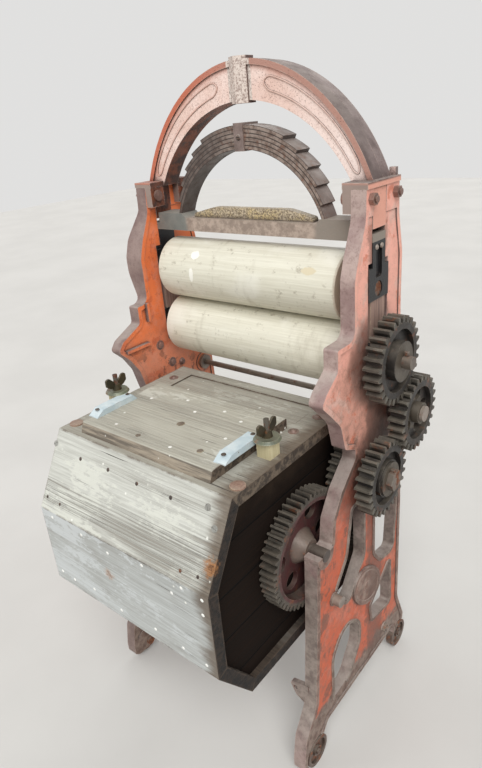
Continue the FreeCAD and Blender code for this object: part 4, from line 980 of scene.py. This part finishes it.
bar_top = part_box("right_clamp_bar")[1].z
packing = block_wood("packing_wood", (172, 142, 128), (122, 98, 88))
post = block_wood("post_wood", (212, 203, 166), (188, 176, 138), bar_top - 0.001)
dress(packing, "_packing")
dress(post, "clamp_post")
print("finish:", packing.name, post.name)

# %% [markdown]
# ## Pale blue clamp bars
# The two bars on the lid keep a pale blue coat, chalky and chipped through to grey wood along every edge. The flaking
# group gives the chips, and the rubbed edges are laid on top with the colour of the wood.

# %% Clamp paint
def clamp_paint():
    shader, where, facing = start_finish("clamp_paint")
    chalk = noise(where, 30, 6, 0.6)
    coat = blend(span(chalk, 0.35, 0.65), (182, 198, 204), (206, 216, 218))
    grain = grain_along(split(where), "YXZ", 150, 0.006)
    wood = blend(span(grain["Tone"], 0.3, 0.7), (92, 86, 80), (146, 140, 130))
    flakes = use(flaking, Vector=where, Scale=20, Amount=0.22)
    colour = blend(flakes["Bare"], coat, wood)
    colour = blend(times(edge_mask(where, 0.003, 60), 0.7), colour, (112, 106, 100))
    relief = plus(times(grain["Tone"], 0.5), flakes["Height"])
    return close_finish(shader, colour, span(chalk, 0.3, 0.7, 0.62, 0.8), relief, 0.0006)


dress(clamp_paint(), "clamp_bar")
print("finish:", finishes["left_clamp_bar"].name)

# %% [markdown]
# ## Putting the finishes on the CAD nodes
# A CAD node keeps its mesh and place. Only its material slots change, so the shape of the CAD is the shape that is
# shown. The loop also tells at once whether a node was forgotten.

# %% Assign finishes
for name, node in nodes.items():
    node.data.materials.clear()
    node.data.materials.append(finishes[name])
print("dressed nodes:", len(nodes), "with", len({m.name for m in finishes.values()}), "finishes")

# %% [markdown]
# ## Small fasteners: the tools
# Nails, screws and bolt heads are too small for the CAD but are what makes wood look joined. Each is an operator's
# shape put in place by one matrix whose Z points out of the surface, and many heads share one mesh, because a hundred
# objects would be slow to handle. A last helper turns the mesh into a piece that rides on a body of the machine.

# %% Fastener helpers
sharp_angle = math.radians(38)


def aim(place, out):
    """Matrix that turns a piece's own Z along out, at a place."""
    return Matrix.Translation(place) @ Vector(out).to_track_quat("Z", "Y").to_matrix().to_4x4()


def settle(bm, name, body, material):
    """Makes the mesh a piece that rides on a body."""
    bmesh.ops.recalc_face_normals(bm, faces=bm.faces)
    mesh = bpy.data.meshes.new(name)
    bm.to_mesh(mesh)
    bm.free()
    mesh.materials.append(material)
    mesh.shade_smooth()
    mesh.set_sharp_from_angle(angle=sharp_angle)
    piece = bpy.data.objects.new(name, mesh)
    bpy.context.scene.collection.objects.link(piece)
    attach(piece, body)
    print("piece:", name, len(mesh.polygons), "faces on", body)
    return piece


def fasten(name, body, material, shape, rows):
    """One piece of many heads: the shape is made once for each row of values."""
    bm = bmesh.new()
    for row in rows:
        shape(bm, *row)
    return settle(bm, name, body, material)


up, forward, outward = (0, 0, 1), (0, -1, 0), (1, 0, 0)
print("fastener helpers ready")

# %% [markdown]
# ### Heads
# A nail head is a flattened ball, half sunk. A washer is a short cylinder whose upper rim is bevelled, and a hexagon
# head is a second one with six sides, set on a thin washer.

# %% Heads
def domed_head(bm, place, out, radius, height, sides=10):
    """Round head, half sunk in what carries it."""
    size = Matrix.Diagonal((radius, radius, height, 1))
    bmesh.ops.create_uvsphere(bm, u_segments=sides, v_segments=6, radius=1.0, matrix=aim(place, out) @ size)


def disc(bm, place, out, radius, height, sides=24, edge=0.25):
    """Flat round piece with a softened rim."""
    own = aim(place, out)
    made = bmesh.ops.create_cone(bm, cap_ends=True, segments=sides, radius1=radius, radius2=radius, depth=height,
                                 matrix=own @ Matrix.Translation((0, 0, height / 2)))
    flat_back = own.inverted()
    upper = {v for v in made["verts"] if (flat_back @ v.co).z > height / 2}
    rim = [e for e in bm.edges if e.verts[0] in upper and e.verts[1] in upper]
    bmesh.ops.bevel(bm, geom=rim, offset=height * edge, affect="EDGES", segments=2, profile=0.5, material=-1)


def hex_head(bm, place, out, radius, height):
    """Hexagon head on a thin washer."""
    disc(bm, place, out, radius * 1.45, height * 0.22)
    disc(bm, place + Vector(out) * height * 0.2, out, radius, height, 6, 0.14)


print("heads ready")

# %% [markdown]
# ### Slotted screws
# A slot is pressed into a screw head the way a saw cuts it: two straight cuts across the disc, then the strip between
# them goes down. Bisect makes the cuts, and extruding the strip's top face downwards makes the walls of the slot.

# %% Slotted screws
def slotted_head(bm, place, out, radius, height, turn):
    """Screw head whose slot is turned by an angle."""
    own = aim(place, out) @ Matrix.Rotation(turn, 4, "Z")
    raised = own @ Matrix.Translation((0, 0, height / 2))
    made = bmesh.ops.create_cone(bm, cap_ends=True, segments=18, radius1=radius, radius2=radius * 0.88, depth=height,
                                 matrix=raised)
    mine = set(made["verts"])
    for side in (-1, 1):
        geom = list(mine) + [e for e in bm.edges if e.verts[0] in mine] + [f for f in bm.faces if f.verts[0] in mine]
        cut = bmesh.ops.bisect_plane(bm, geom=geom, plane_co=own @ Vector((side * radius * 0.16, 0, 0)),
                                     plane_no=own.to_3x3() @ Vector((side, 0, 0)))
        mine |= {v for v in cut["geom_cut"] if isinstance(v, bmesh.types.BMVert)}
    back = own.inverted()
    strip = [f for f in bm.faces if f.verts[0] in mine and (back @ f.calc_center_median()).z > height * 0.98
             and abs((back @ f.calc_center_median()).x) < radius * 0.1]
    walls = bmesh.ops.extrude_face_region(bm, geom=strip)
    moved = [v for v in walls["geom"] if isinstance(v, bmesh.types.BMVert)]
    bmesh.ops.translate(bm, verts=moved, vec=own.to_3x3() @ Vector((0, 0, -height * 0.45)))
    bmesh.ops.delete(bm, geom=strip, context="FACES_ONLY")


print("slotted screws ready")

# %% [markdown]
# ## Nails of the box
# The front boards are held by rows of galvanised nails that show as pale dots, and by a row of older dark nails under
# the top edge. Spacing by eye is never exact, so each nail leaves its row by a few millimetres. The random numbers
# are seeded, so that every run drives the same nails.

# %% Box nails
dice = random.Random(7)
nail_zinc = bare_iron("nail_zinc", (242, 242, 236), (226, 226, 220), 0.06, (246, 246, 242), 0.1, 0)
nail_dark = bare_iron("nail_dark", (70, 58, 50), (48, 40, 36), 0.4, (110, 96, 86), 0.2, 0.2)
dull_zinc = bare_iron("dull_zinc", (150, 150, 144), (122, 120, 114), 0.2, (182, 182, 176), 0.2, 0.2)
front_low, front_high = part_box("box_front_middle")
top_low, top_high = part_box("box_top")
small_nail = (0.0042, 0.0012)


def on_front(x, z):
    """Place and way out on the upright front; x in millimetres from the middle, z in metres."""
    return Vector((axis_x + x / 1000, front_low.y, z)), forward


def on_slope(x, down):
    """Place and way out on the sloping front, down millimetres below its upper edge."""
    upper = Vector((axis_x + x / 1000, top_low.y, top_high.z))
    run = Vector((0, front_low.y - top_low.y, front_high.z - top_high.z)).normalized()
    return upper + run * (down / 1000), Vector((0, run.z, -run.y))


low_row = [(x, front_low.z + 0.02 + dice.uniform(0, 0.022)) for x in (-245, -197, -118, -23, 92, 175, 240)]
scattered = [(85, 0.711), (167, 0.681), (198, 0.710), (253, 0.708), (250, 0.669), (-230, 0.704), (-120, 0.700),
             (-30, 0.690)]
fasten("front_nails", "drum", nail_zinc, domed_head,
       [(*on_front(x, z), *small_nail) for x, z in low_row + scattered])

upper_row = [(*on_slope(x, 48 + dice.uniform(-3, 3)), 0.0048, 0.0011) for x in (-170, -73, 22, 123)]
lower_row = [(*on_slope(x, 168 + dice.uniform(-4, 4)), 0.004, 0.001) for x in (-255, -205, 190, 235)]
fasten("slope_nails", "drum", nail_dark, domed_head, upper_row + lower_row)

screws = [(220, 33, 0.5), (247, 66, 1.3), (-268, 37, 2.1)]
fasten("slope_screws", "drum", dull_zinc, slotted_head,
       [(*on_slope(x, down), 0.0075, 0.0016, turn_by) for x, down, turn_by in screws])

# %% [markdown]
# ## Plugs, bolts and screws of the top and the lid
# Wooden plugs cover the corner bolts of the top, domed coach bolts hold its rear strip, and the lid shows nails
# and three dark knots. Everything on the lid rides on the lid, so it lifts with it.

# %% Top and lid fasteners
plug_wood = block_wood("plug_wood", (158, 128, 112), (122, 92, 78))
knot_wood = block_wood("knot_wood", (104, 84, 68), (58, 44, 36))
top_z, lid_z = top_high.z * 1000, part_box("lid")[1].z * 1000
plugs = [(spot(x, -423, top_z), up, 0.0165, 0.0035) for x in (-251, 254)]
fasten("top_plugs", "drum", plug_wood, disc, plugs)


def coach_bolt(bm, x, y):
    """Domed bolt on a thin washer."""
    disc(bm, spot(x, y, top_z), up, 0.0125, 0.0016)
    domed_head(bm, spot(x, y, top_z + 1), up, 0.009, 0.0055, 16)


fasten("top_bolts", "drum", bolt_iron, coach_bolt, [(-224, -190), (224, -190), (-234, -106), (234, -106)])

nails = [(-2, -265), (59, -229), (124, -249), (143, -325), (64, -413), (-121, -403), (-150, -265), (-60, -228)]
fasten("lid_nails", "lid", nail_zinc, domed_head,
       [(spot(x, y, lid_z), up, *small_nail) for x, y in nails])

knots = [(11, -326, 0.0095), (131, -392, 0.0075), (-35, -414, 0.006)]
fasten("lid_knots", "lid", knot_wood, disc,
       [(spot(x, y, lid_z), up, radius, 0.0009) for x, y, radius in knots])

from_bar_end = 0.016
bar_screws = []
for side in ("right", "left"):
    low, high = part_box(side + "_clamp_bar")
    for y in (low.y + from_bar_end, high.y - from_bar_end):
        bar_screws.append((Vector(((low.x + high.x) / 2, y, high.z)), up, 0.0055, 0.0012, dice.uniform(0, 3)))
fasten("bar_screws", "lid", nail_dark, slotted_head, bar_screws)

# %% [markdown]
# ## Bolts on the frames and the bearings
# The far frame shows two bolt heads and a pin on its inner web, the sliding block on the gear side has two studs at
# its top, and a rivet closes the spring's buckle. Taper keys stop two gears from turning on their shafts. Only
# the head of a key shows, so it is a small block with softened edges beside the shaft.

# %% Frame and bearing fasteners
far_web_x = -301
bm = bmesh.new()
for y, z in ((-80, 967), (-42, 903)):
    hex_head(bm, spot(far_web_x, y, z), outward, 0.0095, 0.006)
domed_head(bm, spot(far_web_x, -5, 891), outward, 0.011, 0.009, 16)
settle(bm, "far_web_bolts", "stand", bolt_iron)

block_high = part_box("right_upper_bearing")[1]
studs = [(Vector((block_high.x, axis_y + y, block_high.z - 0.012)), outward, 0.006, 0.004, 14) for y in (-0.011, 0.011)]
fasten("block_studs", "carriage", stay_iron, domed_head, studs)

buckle_low, buckle_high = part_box("spring_buckle")
rivet = (buckle_low + buckle_high) / 2
rivet.y = buckle_low.y
fasten("buckle_rivet", "carriage", leaf_steel, domed_head, [(rivet, forward, 0.007, 0.004, 16)])


def taper_key(name, body, gear, shaft_radius):
    """Key head on the outer face of a gear's hub, at the top of its shaft."""
    low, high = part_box(gear)
    place = (high.x + 0.005, (low.y + high.y) / 2, (low.z + high.z) / 2 + shaft_radius + 0.005)
    bm = bmesh.new()
    bmesh.ops.create_cube(bm, size=1.0)
    bmesh.ops.scale(bm, vec=(0.012, 0.009, 0.010), verts=bm.verts)
    bmesh.ops.translate(bm, vec=place, verts=bm.verts)
    bmesh.ops.bevel(bm, geom=bm.edges[:], offset=0.0014, affect="EDGES", segments=2, profile=0.5, material=-1)
    settle(bm, name, body, shaft_iron)


taper_key("roller_gear_key", "lower_roller", "roller_gear", 0.015)
taper_key("drive_gear_key", "drive", "drive_gear", 0.018)

# %% [markdown]
# ## Panels of the arch
# Two long round-ended panels are outlined on the arch face by a thin cast bead. A bead along a curve is easiest as a
# NURBS curve with a round bevel, whose points follow the ellipse between the inner and outer edges of the arch. It is
# then made a mesh. The panels themselves stay bare.

# %% Arch panels
inner_wide, inner_tall = 320.2, 360.8


def arch_place(angle, share):
    """Point on the arch face: angle from the crown, share 0 at the inner curve and 1 at the outer."""
    wide = inner_wide + (outer_wide - inner_wide) * share
    tall = inner_tall + (outer_tall - inner_tall) * share
    turned = math.radians(angle)
    return spot(wide * math.sin(turned), -10.2, arch_centre.z * 1000 + tall * math.cos(turned))


def bead(name, points, thickness, body, material):
    """Closed round bead through points, as a mesh piece."""
    curve = bpy.data.curves.new(name, "CURVE")
    curve.dimensions = "3D"
    curve.bevel_depth = thickness
    curve.bevel_resolution = 2
    curve.use_fill_caps = True
    spline = curve.splines.new("NURBS")
    spline.points.add(len(points) - 1)
    for knot, place in zip(spline.points, points):
        knot.co = (*place, 1.0)
    spline.order_u = 3
    spline.use_cyclic_u = True
    spline.resolution_u = 4
    holder = bpy.data.objects.new(name + "_path", curve)
    mesh = bpy.data.meshes.new_from_object(holder)
    bpy.data.objects.remove(holder)
    bpy.data.curves.remove(curve)
    bm = bmesh.new()
    bm.from_mesh(mesh)
    bpy.data.meshes.remove(mesh)
    return settle(bm, name, body, material)


def panel_outline(start, end, low, high):
    """Points round a long panel between two angles and two shares of the arch's width."""
    steps = 14
    middle = (low + high) / 2
    there = [arch_place(start + (end - start) * k / steps, high) for k in range(steps + 1)]
    back = [arch_place(end + (start - end) * k / steps, low) for k in range(steps + 1)]
    nose = (end - start) / steps * 0.75
    return there + [arch_place(end + nose, middle)] + back + [arch_place(start - nose, middle)]


for name, start, end in (("right_arch_panel", 13, 57), ("left_arch_panel", -57, -13)):
    bead(name, panel_outline(start, end, 0.30, 0.66), 0.0021, "stand", finishes["crown_arch"])

# %% [markdown]
# ## Oval medallion
# The raised oval on each lower panel carries a bead and a plain boss. A ring is spun from a small circle and then
# scaled into an oval, and the boss is a low dome. The far frame has the same medallion, mirrored.

# %% Oval medallion
ring_radius, bead_radius = 0.05, 0.003
oval_face_x, oval_y, oval_z, oval_turn = 336, -50, 395, math.radians(50)


def medallion(name, side):
    """Bead and boss on the oval of one frame; side is 1 or -1."""
    bm = bmesh.new()
    upright = Matrix.Translation((ring_radius, 0, 0)) @ Matrix.Rotation(math.pi / 2, 4, "X")
    circle = bmesh.ops.create_circle(bm, segments=8, radius=bead_radius, matrix=upright)["verts"]
    bmesh.ops.spin(bm, geom=circle + bm.edges[:], cent=(0, 0, 0), axis=up, angle=2 * math.pi, steps=40, use_merge=True)
    bmesh.ops.remove_doubles(bm, verts=bm.verts, dist=1e-5)
    domed_head(bm, (0, 0, 0), up, 0.017, 0.005, 20)
    bmesh.ops.scale(bm, vec=(1.32, 0.84, 0.55), verts=bm.verts)
    lie = Matrix.Rotation(oval_turn, 4, "X") @ Matrix.Rotation(math.pi / 2 * side, 4, "Y")
    place = Matrix.Translation(spot(side * oval_face_x, oval_y, oval_z))
    bmesh.ops.transform(bm, matrix=place @ lie, verts=bm.verts)
    return settle(bm, name, "stand", finishes["right_end_frame"])


medallion("right_medallion", 1)
medallion("left_medallion", -1)

# %% [markdown]
# ## Rims round the openings
# On the casting a flat rim runs round every opening of the lower panel. It follows edges that the frame already has, so
# a merged copy of the frame's mesh gives its line: only the faces of the web are kept, and the inset operator draws a
# band along their border. The stretches of the band that lie on an opening are kept and made solid.

# %% Opening rims
rim_width, rim_rise, rim_sunk = 0.009, 0.0035, 0.0005
rim_low_z, rim_high_z = 0.15, 0.86


def opening_rims(name, node, web_x, side, material):
    """Rims on the outer face of one frame; side is 1 or -1, the way that face looks along X."""
    bm = bmesh.new()
    bm.from_mesh(nodes[node].data)
    bmesh.ops.remove_doubles(bm, verts=bm.verts, dist=1e-5)
    web = {f for f in bm.faces if f.normal.x * side > 0.99 and abs(f.calc_center_median().x - web_x) < 2e-4}
    for edge in bm.edges:
        beyond = [f for f in edge.link_faces if f not in web]
        at_border = len(edge.link_faces) == 2 and len(beyond) == 1
        in_panel = all(rim_low_z < v.co.z < rim_high_z for v in edge.verts)
        edge.seam = at_border and in_panel and (beyond[0].calc_center_median().x - web_x) * side < -1e-4
    bmesh.ops.delete(bm, geom=[f for f in bm.faces if f not in web], context="FACES")
    band = bmesh.ops.inset_region(bm, faces=bm.faces, thickness=rim_width, use_boundary=True)["faces"]
    rim = {f for f in band if any(e.seam for e in f.edges)}
    bmesh.ops.delete(bm, geom=[f for f in bm.faces if f not in rim], context="FACES")
    bmesh.ops.solidify(bm, geom=list(bm.faces), thickness=rim_rise)
    foot_x = min(v.co.x * side for v in bm.verts) * side
    bmesh.ops.translate(bm, vec=(web_x - rim_sunk * side - foot_x, 0, 0), verts=bm.verts)
    return settle(bm, name, "stand", material)


all_flange_x = spot(300, 0, 0).x
rim_paint = frame_paint("rim_paint", (200, 150, 132), (176, 132, 114), (150, 108, 86), (134, 114, 106),
                        (164, 148, 138), all_flange_x, 0.6, 0.55)
opening_rims("right_window_rims", "right_end_frame", spot(329, 0, 0).x, 1, rim_paint)
opening_rims("left_window_rims", "left_end_frame", spot(-329, 0, 0).x, -1, finishes["left_end_frame"])
print("opening rims:", rim_width, "m wide")
